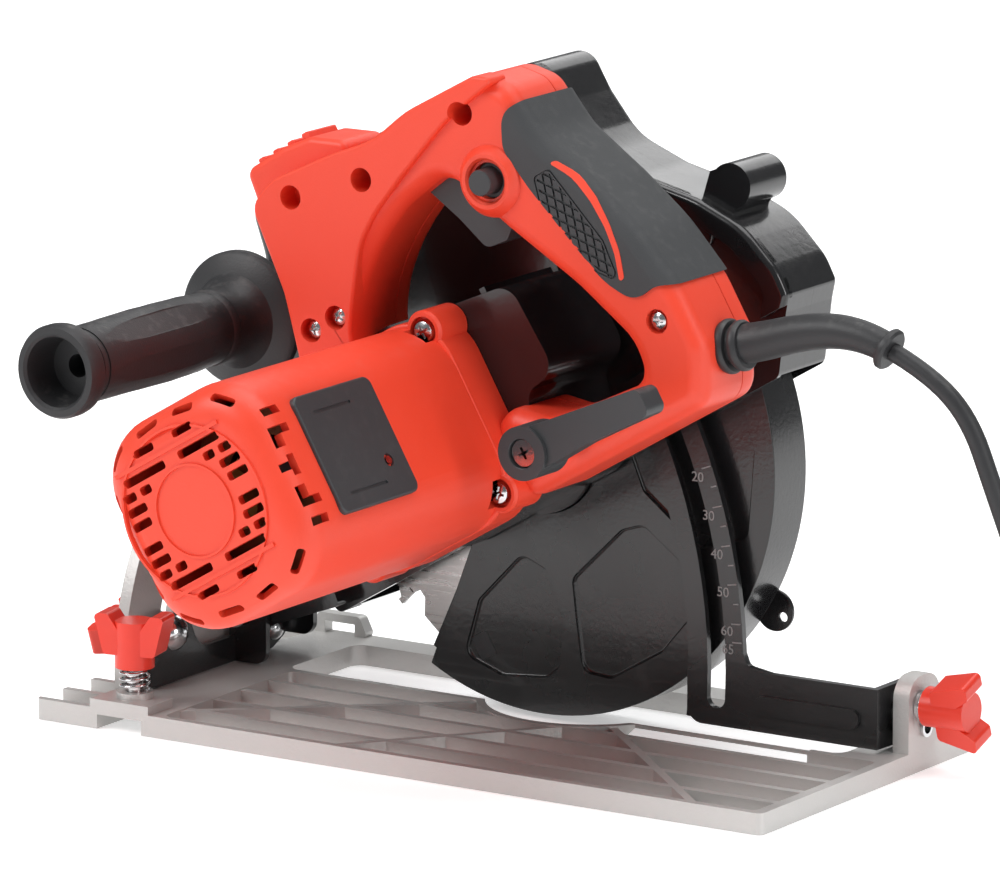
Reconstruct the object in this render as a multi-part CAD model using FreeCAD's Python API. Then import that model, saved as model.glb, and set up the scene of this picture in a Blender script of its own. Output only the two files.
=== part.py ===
import FreeCAD, Part
import math
import os
from FreeCAD import Vector

# Corded circular saw with a 185 mm blade.  Millimetres.
# +X points to the rear of the saw, -Y to the motor side, +Z up.
# The origin lies in the sole of the base plate, at the middle of its length and width.
# The swinging saw body is drawn level, with the blade axis at x = 0, z = 0, and then
# pitched up about the depth pivot, to the position where the blade is fully raised.
os.makedirs("parts", exist_ok=True)

# ---------------------------------------------------------------- driving dimensions
BASE_LENGTH, BASE_WIDTH, BASE_HEIGHT = 300.0, 144.0, 7.6
BASE_FLOOR = 2.8
SLOT_FRONT, SLOT_REAR, SLOT_NEAR, SLOT_FAR = -101.0, 130.0, 13.5, 58.0
RIB_ROWS = (-54.0, -37.0, -20.0, -3.0)
RIB_WIDTH = 3.0
FENCE_FRONT, FENCE_REAR, FENCE_DEPTH = -123.5, -104.5, 5.2
CLAMP_X, CLAMP_Y = -114.0, -62.0
BEVEL_Y, BEVEL_Z = 36.0, 15.2
FRONT_LOCK_Y, FRONT_LOCK_Z = -26.0, 25.6
REAR_LOCK_Y, REAR_LOCK_Z = 33.1, 23.6
PIVOT_X, PIVOT_Z = -120.0, 28.0
ARM_Y0, ARM_Y1 = 19.0, 21.5
ARM_INNER, ARM_SLOT, ARM_OUTER = 184.5, 196.0, 207.0
ARM_SLOT_WIDTH = 7.3
SPINDLE_HEIGHT = 97.5
PITCH = 30.3
BLADE_RADIUS, BLADE_Y, BLADE_TEETH = 92.5, 35.0, 24
GUARD_RADIUS = 95.5
GUARD_Y0, GUARD_SPLIT, GUARD_Y1, GUARD_WALL = 22.0, 38.5, 55.0, 2.2
GEAR_MODULE, PINION_TEETH, WHEEL_TEETH = 0.8, 10, 40
MOTOR_X, MOTOR_Z = -9.0, 17.9
HOUSING_X, HOUSING_Z, HOUSING_HALF_X, HOUSING_HALF_Z = -6.5, 16.5, 36.5, 38.0
HOUSING_END, HOUSING_FRONT = -163.0, -28.0
HANDLE_Y0, HANDLE_SEAM, HANDLE_Y1, HANDLE_WALL = -40.0, -12.0, 0.0, 2.8
LOCK_X, LOCK_Z = 57.2, -8.0
AUX_X, AUX_Z = -72.0, 88.5
DEPTH_PIVOT = (-138.7, 0.5)
CORD_RADIUS, CORD_Y = 3.25, -20.0
COIL_X, COIL_Y, COIL_TURN, COIL_HALF, COIL_HEIGHT = 265.5, 58.0, 35.2, 13.0, 17.8


# ---------------------------------------------------------------- drawing helpers
def point(plane, pair, level):
    """A point given by two coordinates in a plane and one across it."""
    u, v = pair
    places = {"xz": (u, level, v), "yz": (level, u, v), "xy": (u, v, level)}
    return Vector(*places[plane])


def rounded_wire(points, radius, plane, level):
    """A closed outline whose corners are arcs of the given radius."""
    count = len(points)
    radii = radius if isinstance(radius, (list, tuple)) else [radius] * count
    corners = []
    for i in range(count):
        here = point(plane, points[i], level)
        before = point(plane, points[i - 1], level) - here
        after = point(plane, points[(i + 1) % count], level) - here
        if radii[i] <= 0:
            corners.append((here, None, here))
            continue
        half = before.getAngle(after) / 2
        reach = radii[i] / math.tan(half)
        reach = min(reach, 0.49 * before.Length, 0.49 * after.Length)
        r = reach * math.tan(half)
        a = here + before.normalize() * reach
        b = here + after.normalize() * reach
        inward = (before + after).normalize()
        corners.append((a, here + inward * (r / math.sin(half) - r), b))
    edges = []
    for i in range(count):
        a, middle, b = corners[i]
        if middle is not None:
            edges.append(Part.Arc(a, middle, b).toShape())
        following = corners[(i + 1) % count][0]
        if b.distanceToPoint(following) > 1e-6:
            edges.append(Part.LineSegment(b, following).toShape())
    return Part.Wire(edges)


def slab(points, low, high, plane="xz", radius=0.0, inset=0.0):
    """A flat outline given thickness across its plane; inset shrinks it all round."""
    face = Part.Face(rounded_wire(points, radius, plane, low))
    if inset:
        face = Part.Face(face.makeOffset2D(-inset).Wires[0])
    return face.extrude(point(plane, (0, 0), high - low))


def box(x0, x1, y0, y1, z0, z1):
    return Part.makeBox(x1 - x0, y1 - y0, z1 - z0, Vector(x0, y0, z0))


def rod(axis, centre, radius, low, high, end_radius=None):
    """A round bar along x, y or z; with an end radius it is a cone."""
    across = {"x": "yz", "y": "xz", "z": "xy"}[axis]
    direction = point(across, (0, 0), 1)
    start = point(across, centre, low)
    if end_radius is None:
        return Part.makeCylinder(radius, high - low, start, direction)
    return Part.makeCone(radius, end_radius, high - low, start, direction)


def ring(axis, centre, inner, outer, low, high):
    return rod(axis, centre, outer, low, high).cut(rod(axis, centre, inner, low - 1, high + 1))


def wedge(plane, centre, start, end, reach, low, high):
    """A fan between two angles in degrees, for keeping a part of a ring."""
    steps = max(2, int(abs(end - start) / 30) + 1)
    fan = [centre]
    for i in range(steps + 1):
        a = math.radians(start + (end - start) * i / steps)
        fan.append((centre[0] + reach * math.cos(a), centre[1] + reach * math.sin(a)))
    return slab(fan, low, high, plane)


def arc_band(axis, centre, inner, outer, start, end, low, high):
    across = {"x": "yz", "y": "xz", "z": "xy"}[axis]
    fan = wedge(across, centre, start, end, outer * 1.5, low, high)
    return ring(axis, centre, inner, outer, low, high).common(fan)


def arc_slot(axis, centre, radius, width, start, end, low, high):
    """The cutter for a curved slot with round ends."""
    slot = arc_band(axis, centre, radius - width / 2, radius + width / 2, start, end, low, high)
    for angle in (start, end):
        a = math.radians(angle)
        stop = (centre[0] + radius * math.cos(a), centre[1] + radius * math.sin(a))
        slot = slot.fuse(rod(axis, stop, width / 2, low, high))
    return slot


def fuse(shapes):
    return shapes[0].multiFuse(shapes[1:]).removeSplitter()


def pitched(shape):
    """Move a piece of the level saw body to its place on the raised saw."""
    turned = shape.copy()
    turned.rotate(Vector(0, 0, 0), Vector(0, 1, 0), -PITCH)
    turned.translate(Vector(0, 0, SPINDLE_HEIGHT))
    return turned


def save(name, *solids):
    shape = solids[0] if len(solids) == 1 else Part.Compound(list(solids))
    volume = sum(s.Volume for s in shape.Solids)
    print(f"{name}: {len(shape.Solids)} solids, {volume / 1000:.2f} cm3, valid {shape.isValid()}")
    shape.exportStep(f"parts/{name}.step")


def save_body(name, *solids):
    save(name, *[pitched(s) for s in solids])


def coil_spring(radius, wire, pitch, turns, place, direction):
    """A round-wire helix standing on a point, along a direction."""
    path = Part.makeHelix(pitch, pitch * turns, radius)
    profile = Part.Wire(Part.makeCircle(wire / 2, Vector(radius, 0, 0), Vector(0, 1, 0)))
    spring = Part.Wire(path.Edges).makePipeShell([profile], True, True)
    spring.Placement = FreeCAD.Placement(place, FreeCAD.Rotation(Vector(0, 0, 1), direction))
    return spring


def gear(centre, teeth, bore, low, high, turn):
    """A spur gear; its teeth are a little thin, which leaves backlash."""
    pitch_radius = GEAR_MODULE * teeth / 2
    root, tip = pitch_radius - 1.2 * GEAR_MODULE, pitch_radius + 0.8 * GEAR_MODULE
    step = 360.0 / teeth
    profile = ((-0.36, root), (-0.2, pitch_radius), (-0.09, tip))
    outline = []
    for i in range(teeth):
        for share, r in profile + tuple((-s, r) for s, r in reversed(profile)):
            a = math.radians(turn + (i + share) * step)
            outline.append((centre[0] + r * math.cos(a), centre[1] + r * math.sin(a)))
    return slab(outline, low, high).cut(rod("y", centre, bore, low - 1, high + 1))


def hexagon(centre, across_flats, low, high):
    r = across_flats / math.sqrt(3)
    corners = [(centre[0] + r * math.cos(math.pi * k / 3), centre[1] + r * math.sin(math.pi * k / 3))
               for k in range(6)]
    return slab(corners, low, high)


# ---------------------------------------------------------------- base
def rib(start, end, low, high):
    """A straight rib between two places in plan."""
    length = math.hypot(end[0] - start[0], end[1] - start[1])
    bar = box(0, length, -RIB_WIDTH / 2, RIB_WIDTH / 2, low, high)
    heading = math.degrees(math.atan2(end[1] - start[1], end[0] - start[0]))
    bar.rotate(Vector(0, 0, 0), Vector(0, 0, 1), heading)
    bar.translate(Vector(start[0], start[1], 0))
    return bar


def base_plate():
    half_l, half_w = BASE_LENGTH / 2, BASE_WIDTH / 2
    corners = [(-half_l, -half_w), (half_l, -half_w), (half_l, half_w), (-half_l, half_w)]
    plate = slab(corners, 0, BASE_HEIGHT, "xy", radius=2.5)
    pocket = slab([(-97, -69), (146, -69), (146, 10.5), (-97, 10.5)], BASE_FLOOR, BASE_HEIGHT + 1, "xy",
                  radius=3)
    front = box(-half_l - 1, -126.5, -69, 69, BASE_FLOOR, BASE_HEIGHT + 1)
    ribs = [rib((-99, y), (148, y), BASE_FLOOR - 1, BASE_HEIGHT - 0.5) for y in RIB_ROWS]
    front_rows = RIB_ROWS + (14, 31, 48)
    ribs += [rib((-half_l - 2, y), (-125, y), BASE_FLOOR - 1, BASE_HEIGHT) for y in front_rows]
    diagonals = (((-98, -58), (-15, 12)), ((-24, -68), (28, -2)), ((38, 9), (122, -70)))
    ribs += [rib(a, b, BASE_FLOOR - 1, BASE_HEIGHT - 0.5) for a, b in diagonals]
    scallop_wall = rod("z", (15, 33), 40, 0, BASE_HEIGHT)
    plate = plate.cut(fuse([pocket, front]).cut(fuse(ribs + [scallop_wall])))
    lug = slab([(24.9, 0), (24.9, 34), (42, 34), (60, 7), (60, 0)], 143.7, 150, "yz",
               radius=[0, 8, 9, 6, 0])
    near_bridge = box(-126.5, -101.5, -half_w, -57, BASE_HEIGHT - 1, 10.7)
    far_bridge = slab([(-127, 7), (-124, 15), (-106, 15), (-102, 7)], half_w - 5, half_w, "xz", radius=2)
    boss = rod("z", (CLAMP_X, CLAMP_Y), 6.5, 9, 13)
    quadrant_foot = box(-130.2, -126.4, -42, 44, BASE_FLOOR - 1, BASE_HEIGHT)
    plate = fuse([plate, lug, near_bridge, far_bridge, boss, quadrant_foot])
    slot = slab([(SLOT_FRONT, SLOT_NEAR), (SLOT_REAR, SLOT_NEAR), (SLOT_REAR, SLOT_FAR),
                 (SLOT_FRONT, SLOT_FAR)], -1, 20, "xy", radius=5)
    channel = box(FENCE_FRONT, FENCE_REAR, -half_w - 1, half_w + 1, -1, FENCE_DEPTH)
    far_gap = box(-121, -108, half_w - 6, half_w + 1, BASE_HEIGHT, 12)
    scallop = rod("z", (15, 33), 37, -1, 20).common(box(-60, 90, -20, 33, -2, 21))
    tilt_relief = slab([(3.2, -1), (14.5, -1), (14.5, 10.3)], 14, 118, "yz")
    cutters = [slot, scallop, channel, far_gap, tilt_relief]
    cutters.append(rod("z", (CLAMP_X, CLAMP_Y), 3.1, 3, 20))
    cutters.append(rod("x", (BEVEL_Y, BEVEL_Z), 3.1, 140, 160))
    reach = math.hypot(REAR_LOCK_Y - BEVEL_Y, REAR_LOCK_Z - BEVEL_Z)
    start = math.degrees(math.atan2(REAR_LOCK_Z - BEVEL_Z, REAR_LOCK_Y - BEVEL_Y))
    cutters.append(arc_slot("x", (BEVEL_Y, BEVEL_Z), reach, 5.6, start - 46, start + 1, 140, 160))
    return plate.cut(fuse(cutters))


def bevel_quadrant():
    """The upright protractor plate at the front, with its curved clamping slot."""
    centre = (BEVEL_Y, BEVEL_Z)
    sector = arc_band("x", centre, 0.01, 86, 108, 186, -129.8, -126.8)
    rim = arc_band("x", centre, 81, 86, 108, 186, -131.6, -126.8)
    hub = rod("x", centre, 7.5, -129.8, -126.8)
    plate = fuse([sector, rim, hub]).cut(box(-140, -120, -60, 60, -20, BASE_HEIGHT))
    reach = math.hypot(FRONT_LOCK_Y - BEVEL_Y, FRONT_LOCK_Z - BEVEL_Z)
    start = math.degrees(math.atan2(FRONT_LOCK_Z - BEVEL_Z, FRONT_LOCK_Y - BEVEL_Y))
    slot = arc_slot("x", centre, reach, 7.0, start - 46, start + 1, -140, -120)
    return plate.cut(fuse([slot, rod("x", centre, 4.1, -140, -120)]))


def base_parts():
    save("base_plate", base_plate())
    save("bevel_quadrant", bevel_quadrant())
    bolt = fuse([rod("x", (BEVEL_Y, BEVEL_Z), 4.0, -136, -121.3),
                 hexagon_x(BEVEL_Y, BEVEL_Z, 11, -135, -131.7),
                 rod("x", (BEVEL_Y, BEVEL_Z), 7.0, -131.6, -129.9),
                 dome_x(BEVEL_Y, BEVEL_Z, 4.3, -121.3, 2.6)])
    save("front_pivot_bolt", bolt)
    rivet = fuse([ring("x", (BEVEL_Y, BEVEL_Z), 2.2, 3.0, 138.0, 151.2),
                  ring("x", (BEVEL_Y, BEVEL_Z), 2.2, 3.4, 150.1, 151.2)])
    save("rear_pivot_rivet", rivet)
    place = Vector(CLAMP_X, CLAMP_Y, 13.6)
    save("guide_clamp_spring", coil_spring(5.0, 1.0, 2.3, 3.0, place, Vector(0, 0, 1)))


def hexagon_x(y, z, across_flats, low, high):
    r = across_flats / math.sqrt(3)
    corners = [(y + r * math.cos(math.pi * k / 3), z + r * math.sin(math.pi * k / 3)) for k in range(6)]
    return slab(corners, low, high, "yz")


def dome_x(y, z, radius, low, height):
    """A low round head that rises along +x."""
    ball_radius = (radius ** 2 + height ** 2) / (2 * height)
    ball = Part.makeSphere(ball_radius, Vector(low + height - ball_radius, y, z))
    return ball.common(rod("x", (y, z), radius, low, low + height + 1))


def wing_knob(length, span, thickness, hub_radius):
    """A winged knob along +z, from z = 0: a round collar under two flared wings."""
    collar = rod("z", (0, 0), hub_radius, 0, length * 0.3)
    outline = [(-span * 0.36, length * 0.25), (span * 0.36, length * 0.25), (span * 0.5, length),
               (span * 0.3, length), (span * 0.16, length * 0.72), (-span * 0.16, length * 0.72),
               (-span * 0.3, length), (-span * 0.5, length)]
    wings = slab(outline, -thickness / 2, thickness / 2, "xz", radius=1.6)
    hub = rod("z", (0, 0), hub_radius, length * 0.25, length * 0.86)
    return fuse([collar, wings, hub])


def turned(shape, direction, place, spin=0.0):
    moved = shape.copy()
    moved.rotate(Vector(0, 0, 0), Vector(0, 0, 1), spin)
    stand = FreeCAD.Placement(place, FreeCAD.Rotation(Vector(0, 0, 1), direction))
    moved.Placement = stand.multiply(moved.Placement)
    return moved


def clamp_parts():
    screw = fuse([rod("z", (CLAMP_X, CLAMP_Y), 2.9, 5.4, 34),
                  rod("z", (CLAMP_X, CLAMP_Y), 3.6, 20.8, 21.7)])
    save("guide_clamp_screw", screw)
    knob = turned(wing_knob(19.5, 27, 11, 7.0), Vector(0, 0, 1), Vector(CLAMP_X, CLAMP_Y, 21.7), spin=12)
    save("guide_clamp_knob", knob.cut(rod("z", (CLAMP_X, CLAMP_Y), 2.9, 20, 34)).cut(
        rod("z", (CLAMP_X, CLAMP_Y), 3.6, 20.8, 21.7)))


# ---------------------------------------------------------------- tilting frame
def bevel_frame_parts():
    outline = [(-41, 8.2), (34, 8.2), (43.2, 12.5), (43.4, 22), (31, 24), (22, 17.5), (-12, 17.5),
               (-19, 33), (-34, 33), (-41, 24)]
    plate = slab(outline, -124.0, -121.5, "yz", radius=[3, 3, 4, 5, 4, 8, 10, 6, 6, 4])
    near_ear = slab([(-124, 8.2), (-108, 8.2), (-108, 37), (-124, 37)], 10.5, 13.0, radius=[0, 5, 8, 0])
    far_ear = slab([(-124, 13.2), (-108, 13.2), (-108, 37), (-124, 37)], 40.5, 43.0, radius=[0, 5, 8, 0])
    web = slab([(10.5, 16), (43, 16), (43, 37), (10.5, 37)], -124.0, -121.5, "yz", radius=2)
    holes = [rod("y", (PIVOT_X, PIVOT_Z), 4.2, 5, 50), rod("x", (BEVEL_Y, BEVEL_Z), 4.3, -130, -110),
             rod("x", (FRONT_LOCK_Y, FRONT_LOCK_Z), 3.2, -130, -110)]
    bracket = fuse([plate, near_ear, far_ear, web]).cut(rod("y", (PIVOT_X, PIVOT_Z), 9.6, 13.0, 40.5))
    save("front_bracket", bracket.cut(fuse(holes)))

    centre = (PIVOT_X, PIVOT_Z)
    arm = arc_band("y", centre, ARM_INNER, ARM_OUTER, -5.2, 32.0, ARM_Y0, ARM_Y1)
    foot = slab([(64, 9.2), (140.9, 9.2), (140.9, 30.5), (64, 30.5)], ARM_Y0, ARM_Y1, radius=[6, 0, 0, 3])
    heel = slab([(84, 26), (98, 26), (98, 30.5), (88.5, 32), (86.6, 37)], ARM_Y0, ARM_Y1,
                radius=[0, 0, 0, 3, 0])
    flange = slab([(19, 9.2), (36, 8.7), (41.5, 11), (43, 16), (44, 30.5), (19, 30.5)], 138.4, 140.9,
                  "yz",
                  radius=[0, 2, 2, 3, 4, 0])
    bead = slab([(92, 15.5), (134, 15.5), (134, 22.5), (92, 22.5)], ARM_Y0 - 1.2, ARM_Y0, radius=3.4)
    arm = fuse([arm, foot, heel, flange, bead])
    arm = arm.cut(arc_slot("y", centre, ARM_SLOT, ARM_SLOT_WIDTH, -2.6, 29.6, 10, 30))
    holes = fuse([rod("x", (BEVEL_Y, BEVEL_Z), 3.2, 130, 150),
                  rod("x", (REAR_LOCK_Y, REAR_LOCK_Z), 2.7, 130, 150)])
    save("depth_arm", arm.cut(holes))

    front = (FRONT_LOCK_Y, FRONT_LOCK_Z)
    save("front_bevel_bolt", fuse([rod("x", front, 3.0, -147, -121.4), dome_x(*front, 6.4, -121.4, 3.6)]))
    rear = (REAR_LOCK_Y, REAR_LOCK_Z)
    save("rear_bevel_bolt", fuse([rod("x", rear, 2.5, 135.6, 162), rod("x", rear, 5.0, 134.6, 138.3)]))
    save("bevel_washers", ring("x", rear, 2.6, 5.3, 150.2, 151.4),
         ring("x", rear, 2.6, 5.3, 151.5, 152.7), ring("x", front, 3.1, 7.4, -131.9, -130.6))
    nut = turned(wing_knob(19, 27, 10, 7.0), Vector(-1, 0, 0), Vector(-132.1, *front), spin=70)
    save("front_wing_nut", nut.cut(rod("x", front, 3.0, -147, -120)))
    knob = turned(wing_knob(20, 27, 11, 7.0), Vector(1, 0, 0), Vector(152.9, *rear), spin=20)
    save("rear_wing_knob", knob.cut(rod("x", rear, 2.5, 130, 162)))


# ---------------------------------------------------------------- saw body: castings
GUARD_OUTLINE = [(-108, -17.5), (104, -17.5), (118, 1), (122.5, 6), (123, 15), (118, 34), (106, 50),
                 (88, 67), (75, 84), (72, 103), (72, 120), (30, 124), (-40, 127), (-66, 127), (-70, 106),
                 (-92, 75), (-104, 45), (-110, 15)]
GUARD_ROUND = [3, 4, 4, 3, 20, 30, 40, 30, 25, 30, 8, 10, 20, 9, 20, 30, 30, 20]
CASE_OUTLINE = [(-47, -19), (34, -19), (40, 14), (55, 16), (53, 50), (30, 53), (-1, 58), (-47, 55)]


def guard_shell():
    """The fixed blade case as one hollow shape, before it is split along the blade plane."""
    body = slab(GUARD_OUTLINE, GUARD_Y0, GUARD_Y1, radius=GUARD_ROUND)
    rim = [e for e in body.Edges if e.Length > 4 and e.BoundBox.YMin > GUARD_Y1 - 1 and e.BoundBox.ZMin > -15]
    body = body.makeFillet(3.0, rim)
    low, high = GUARD_Y0 + GUARD_WALL, GUARD_Y1 - GUARD_WALL
    cavity = slab(GUARD_OUTLINE, low, high, radius=GUARD_ROUND, inset=2.6)
    mouth = slab([(-101, -40), (104, -40), (104, -16), (115, -1), (115, 6), (-101, 6)], low, high)
    body = body.cut(cavity.fuse(mouth))
    body = body.cut(fuse([rod("y", (0, 0), 31, 40, 60), box(-31, 31, 40, 60, -40, 0)]))
    nose = slab([(-138.7, -9), (-100, -16), (-96, 20), (-112, 24), (-138.7, 10)], 13.3, 40.2,
                radius=[9, 2, 2, 6, 9])
    nose = nose.cut(box(-101, -90, 24.2, 50, -30, 30))
    boss = rod("y", (AUX_X, AUX_Z), 13, -3, GUARD_Y0 + 1)
    web = slab([(98, 44), (112, 40), (121, 44), (119, 56), (112, 57)], 26, 50)
    lobes = fuse([rod("y", (117, 49), 8, 26, 50), web]).cut(cavity)
    body = fuse([body, nose, boss, lobes])
    holes = [rod("y", DEPTH_PIVOT, 4.0, 0, 60), rod("y", (AUX_X, AUX_Z), 4.0, -10, 15),
             rod("y", (LOCK_X, LOCK_Z), 3.4, 10, 24.1), rod("y", (65, 110), 6.5, 20, 30),
             rod("y", (0, 0), 23.0, 20, 25)]
    return body.cut(fuse(holes))


def casting_parts():
    shell = guard_shell()
    save_body("upper_guard_inner", shell.common(box(-160, 160, -20, GUARD_SPLIT, -60, 160)))
    save_body("upper_guard_outer", shell.common(box(-160, 160, GUARD_SPLIT, 70, -60, 160)))
    case = slab(CASE_OUTLINE, HOUSING_FRONT, GUARD_Y0, radius=[10, 10, 6, 8, 8, 8, 12, 14])
    cavity = slab(CASE_OUTLINE, HOUSING_FRONT + 4, 11.0, radius=[10, 10, 6, 8, 8, 8, 12, 14], inset=3.2)
    boss = rod("y", (0, 0), 22.5, GUARD_Y0, 29.5)
    case = fuse([case, boss]).cut(cavity)
    for k in range(4):
        x = -34 + 24 * k
        case = case.fuse(slab([(x, 40), (x + 2.5, 40), (x + 2.5, 60 - 2 * k), (x, 60 - 2 * k)], -24,
                              GUARD_Y0))
    cup = ring("y", (0, 0), 6.0, 13, HOUSING_FRONT + 4, -17)
    holes = [rod("y", (0, 0), 14.1, 11.0, 20.0), rod("y", (0, 0), 7.2, 10, 40),
             rod("y", (0, 0), 10.5, -22.3, -16), rod("y", (MOTOR_X, MOTOR_Z), 11.1, -29, -22.4),
             rod("x", (8, 0), 3.3, -60, -40), rod("y", (0, 0), 17.4, -9, 3)]
    case = fuse([case, cup]).cut(fuse(holes))
    case = case.cut(rod("y", (0, 0), 20.6, 28.2, 40))
    arm_sweep = arc_band("y", DEPTH_PIVOT, ARM_INNER - 1.3, ARM_OUTER + 1.3, -40, 34, ARM_Y0 - 0.6,
                         GUARD_Y0 + 1)
    case = case.cut(arm_sweep)
    save_body("gear_case", case)


# ---------------------------------------------------------------- saw body: motor
FLANGE_SCREWS = ((24, 48), (24, -13.5), (-38, 48), (-38, -13.5))


def motor_housing():
    x0, x1 = HOUSING_X - HOUSING_HALF_X, HOUSING_X + HOUSING_HALF_X
    z0, z1 = HOUSING_Z - HOUSING_HALF_Z, HOUSING_Z + HOUSING_HALF_Z
    outline = [(x0, z0), (x1, z0), (x1, z1), (x0, z1)]
    barrel = slab(outline, HOUSING_END, HOUSING_FRONT, radius=21)
    end_edges = [e for e in barrel.Edges if abs(e.BoundBox.YMax - HOUSING_END) < 0.1]
    barrel = barrel.makeFillet(9.0, end_edges)
    inner = slab(outline, HOUSING_END + 3, HOUSING_FRONT + 1, radius=21, inset=2.6)
    inner = inner.makeFillet(7.0,
                             [e for e in inner.Edges if abs(e.BoundBox.YMax - HOUSING_END - 3) < 0.1])
    lobes = [rod("y", place, 7.4, -44, HOUSING_FRONT) for place in FLANGE_SCREWS]
    skirt = slab([(x0 - 1, z0), (x1 + 1, z0), (x1 + 1, z1 + 1), (x0 - 1, z1 + 1)], -44, HOUSING_FRONT,
                 radius=18)
    housing = fuse([barrel, skirt] + lobes).cut(box(-60, 60, -50, -20, -40, z0))
    housing = housing.cut(inner)
    bearing_cup = ring("y", (MOTOR_X, MOTOR_Z), 11.1, 13.5, -161, -151)
    housing = housing.fuse(bearing_cup.common(slab(outline, HOUSING_END, HOUSING_FRONT, radius=21)))
    cutters = [rod("y", place, 2.2, -60, -20) for place in FLANGE_SCREWS]
    cutters += [rod("y", place, 4.6, -48, -41.5) for place in FLANGE_SCREWS]
    cutters.append(rod("x", (-106, 8), 1.6, 20, 40))
    for row in range(-4, 5):
        dz = row * 6.4
        reach = math.sqrt(30.0 ** 2 - dz ** 2)
        clear = math.sqrt(max(0.0, 17.5 ** 2 - dz ** 2))
        for side in (-1, 1):
            a, b = sorted((side * max(clear, 2.0), side * reach))
            if b - a > 6:
                cutters.append(box(MOTOR_X + a, MOTOR_X + b, -170, -159.6, MOTOR_Z + dz - 1.6,
                                   MOTOR_Z + dz + 1.6))
    return housing.cut(fuse(cutters))


def motor_parts():
    save_body("motor_housing", motor_housing())
    x1 = HOUSING_X + HOUSING_HALF_X
    cover = slab([(-142, -5), (-96, -5), (-96, 38), (-142, 38)], x1, x1 + 1.6, "yz", radius=4)
    save_body("brush_cover", cover.cut(rod("x", (-106, 8), 1.6, 20, 40)))
    save_body("brush_cover_screw", rod("x", (-106, 8), 1.5, x1 - 2.5, x1 + 1.4))
    screws = [fuse([rod("y", p, 2.0, -41.5, -30), rod("y", p, 4.0, -45.2, -41.5)]) for p in FLANGE_SCREWS]
    save_body("housing_screws", *[s.cut(cross_recess(p, -45.2)) for s, p in zip(screws, FLANGE_SCREWS)])
    axis = (MOTOR_X, MOTOR_Z)
    save_body("stator", ring("y", axis, 18.0, 31.0, -118, -70))
    holders, brushes = [], []
    for side in (-1, 1):
        a, b = sorted((MOTOR_X + side * 12.5, MOTOR_X + side * 31))
        holders.append(box(a, b, -138, -126, MOTOR_Z - 6, MOTOR_Z + 6).cut(
            box(a - 1, b + 1, -135, -129, MOTOR_Z - 3, MOTOR_Z + 3)))
        a, b = sorted((MOTOR_X + side * 11.3, MOTOR_X + side * 24))
        brushes.append(box(a, b, -135, -129, MOTOR_Z - 3, MOTOR_Z + 3))
    save_body("brush_holders", *holders)
    save_body("carbon_brushes", *brushes)
    save_body("motor_bearings", ring("y", axis, 4.05, 11.0, -160, -153),
              ring("y", axis, 4.05, 11.0, -28, -22.5))
    save_body("spindle_bearings", ring("y", (0, 0), 6.05, 14.0, 11.5, 20),
              ring("y", (0, 0), 5.05, 10.4, -22.2, -17))
    pinion_turn = math.degrees(math.atan2(MOTOR_Z, MOTOR_X)) + 180 + 180 / PINION_TEETH
    pinion = gear(axis, PINION_TEETH, 1.0, -9, 3, pinion_turn)
    save_body("armature_shaft", fuse([rod("y", axis, 4.0, -160, -21.5), rod("y", axis, 2.9, -21.5, -8),
                                      pinion,
                                      rod("y", axis, 1.5, -10, 3)]))
    core = ring("y", axis, 4.0, 17.2, -116, -72)
    slot = box(MOTOR_X + 10, MOTOR_X + 18, -117, -71, MOTOR_Z - 1, MOTOR_Z + 1)
    save_body("armature_core", core.cut(fuse([turned_about(slot, k * 30) for k in range(12)])))
    save_body("commutator", ring("y", axis, 4.0, 11.0, -142, -122))
    blades = [turned_about(box(MOTOR_X + 9, MOTOR_X + 30, -52, -42, MOTOR_Z - 0.8, MOTOR_Z + 0.8), k * 40)
              for k in range(9)]
    save_body("cooling_fan", fuse([ring("y", axis, 4.0, 30, -54, -52),
                                   ring("y", axis, 4.0, 10, -53, -42)] + blades))


def turned_about(shape, degrees):
    moved = shape.copy()
    moved.rotate(Vector(MOTOR_X, 0, MOTOR_Z), Vector(0, 1, 0), degrees)
    return moved


def cross_recess(place, face):
    x, z = place
    return fuse([box(x - 2.2, x + 2.2, face - 1, face + 1.6, z - 0.5, z + 0.5),
                 box(x - 0.5, x + 0.5, face - 1, face + 1.6, z - 2.2, z + 2.2)])


# ---------------------------------------------------------------- saw body: handle
HANDLE_OUTLINE = [(-34, 54), (-26, 84), (-23, 116), (-12, 121), (18, 118), (34, 115), (52, 118),
                  (84, 117), (93, 108), (96, 88), (107, 64), (115, 43), (120, 20), (120, -2), (110, -20),
                  (26, -20), (26, 8), (37, 12), (49, 2), (70, -1), (92, -3), (94, 11), (83, 37), (67, 66),
                  (54, 93), (32, 90), (14, 82), (0, 71), (-8, 60), (-10, 50)]
HANDLE_ROUND = [3, 30, 7, 20, 40, 40, 40, 8, 8, 30, 60, 60, 30, 10, 9, 6, 3, 5, 8, 20, 7, 20, 60, 20, 5,
                40, 60,
                40, 20, 1]
HANDLE_SCREWS = ((-6, 112), (24, 105), (72, 108), (108, 13), (84, -9), (-22, 68), (-10, 68))
TRIGGER_PIVOT = (49, 95)
BUTTON_PLACE = (71, 83)


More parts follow.
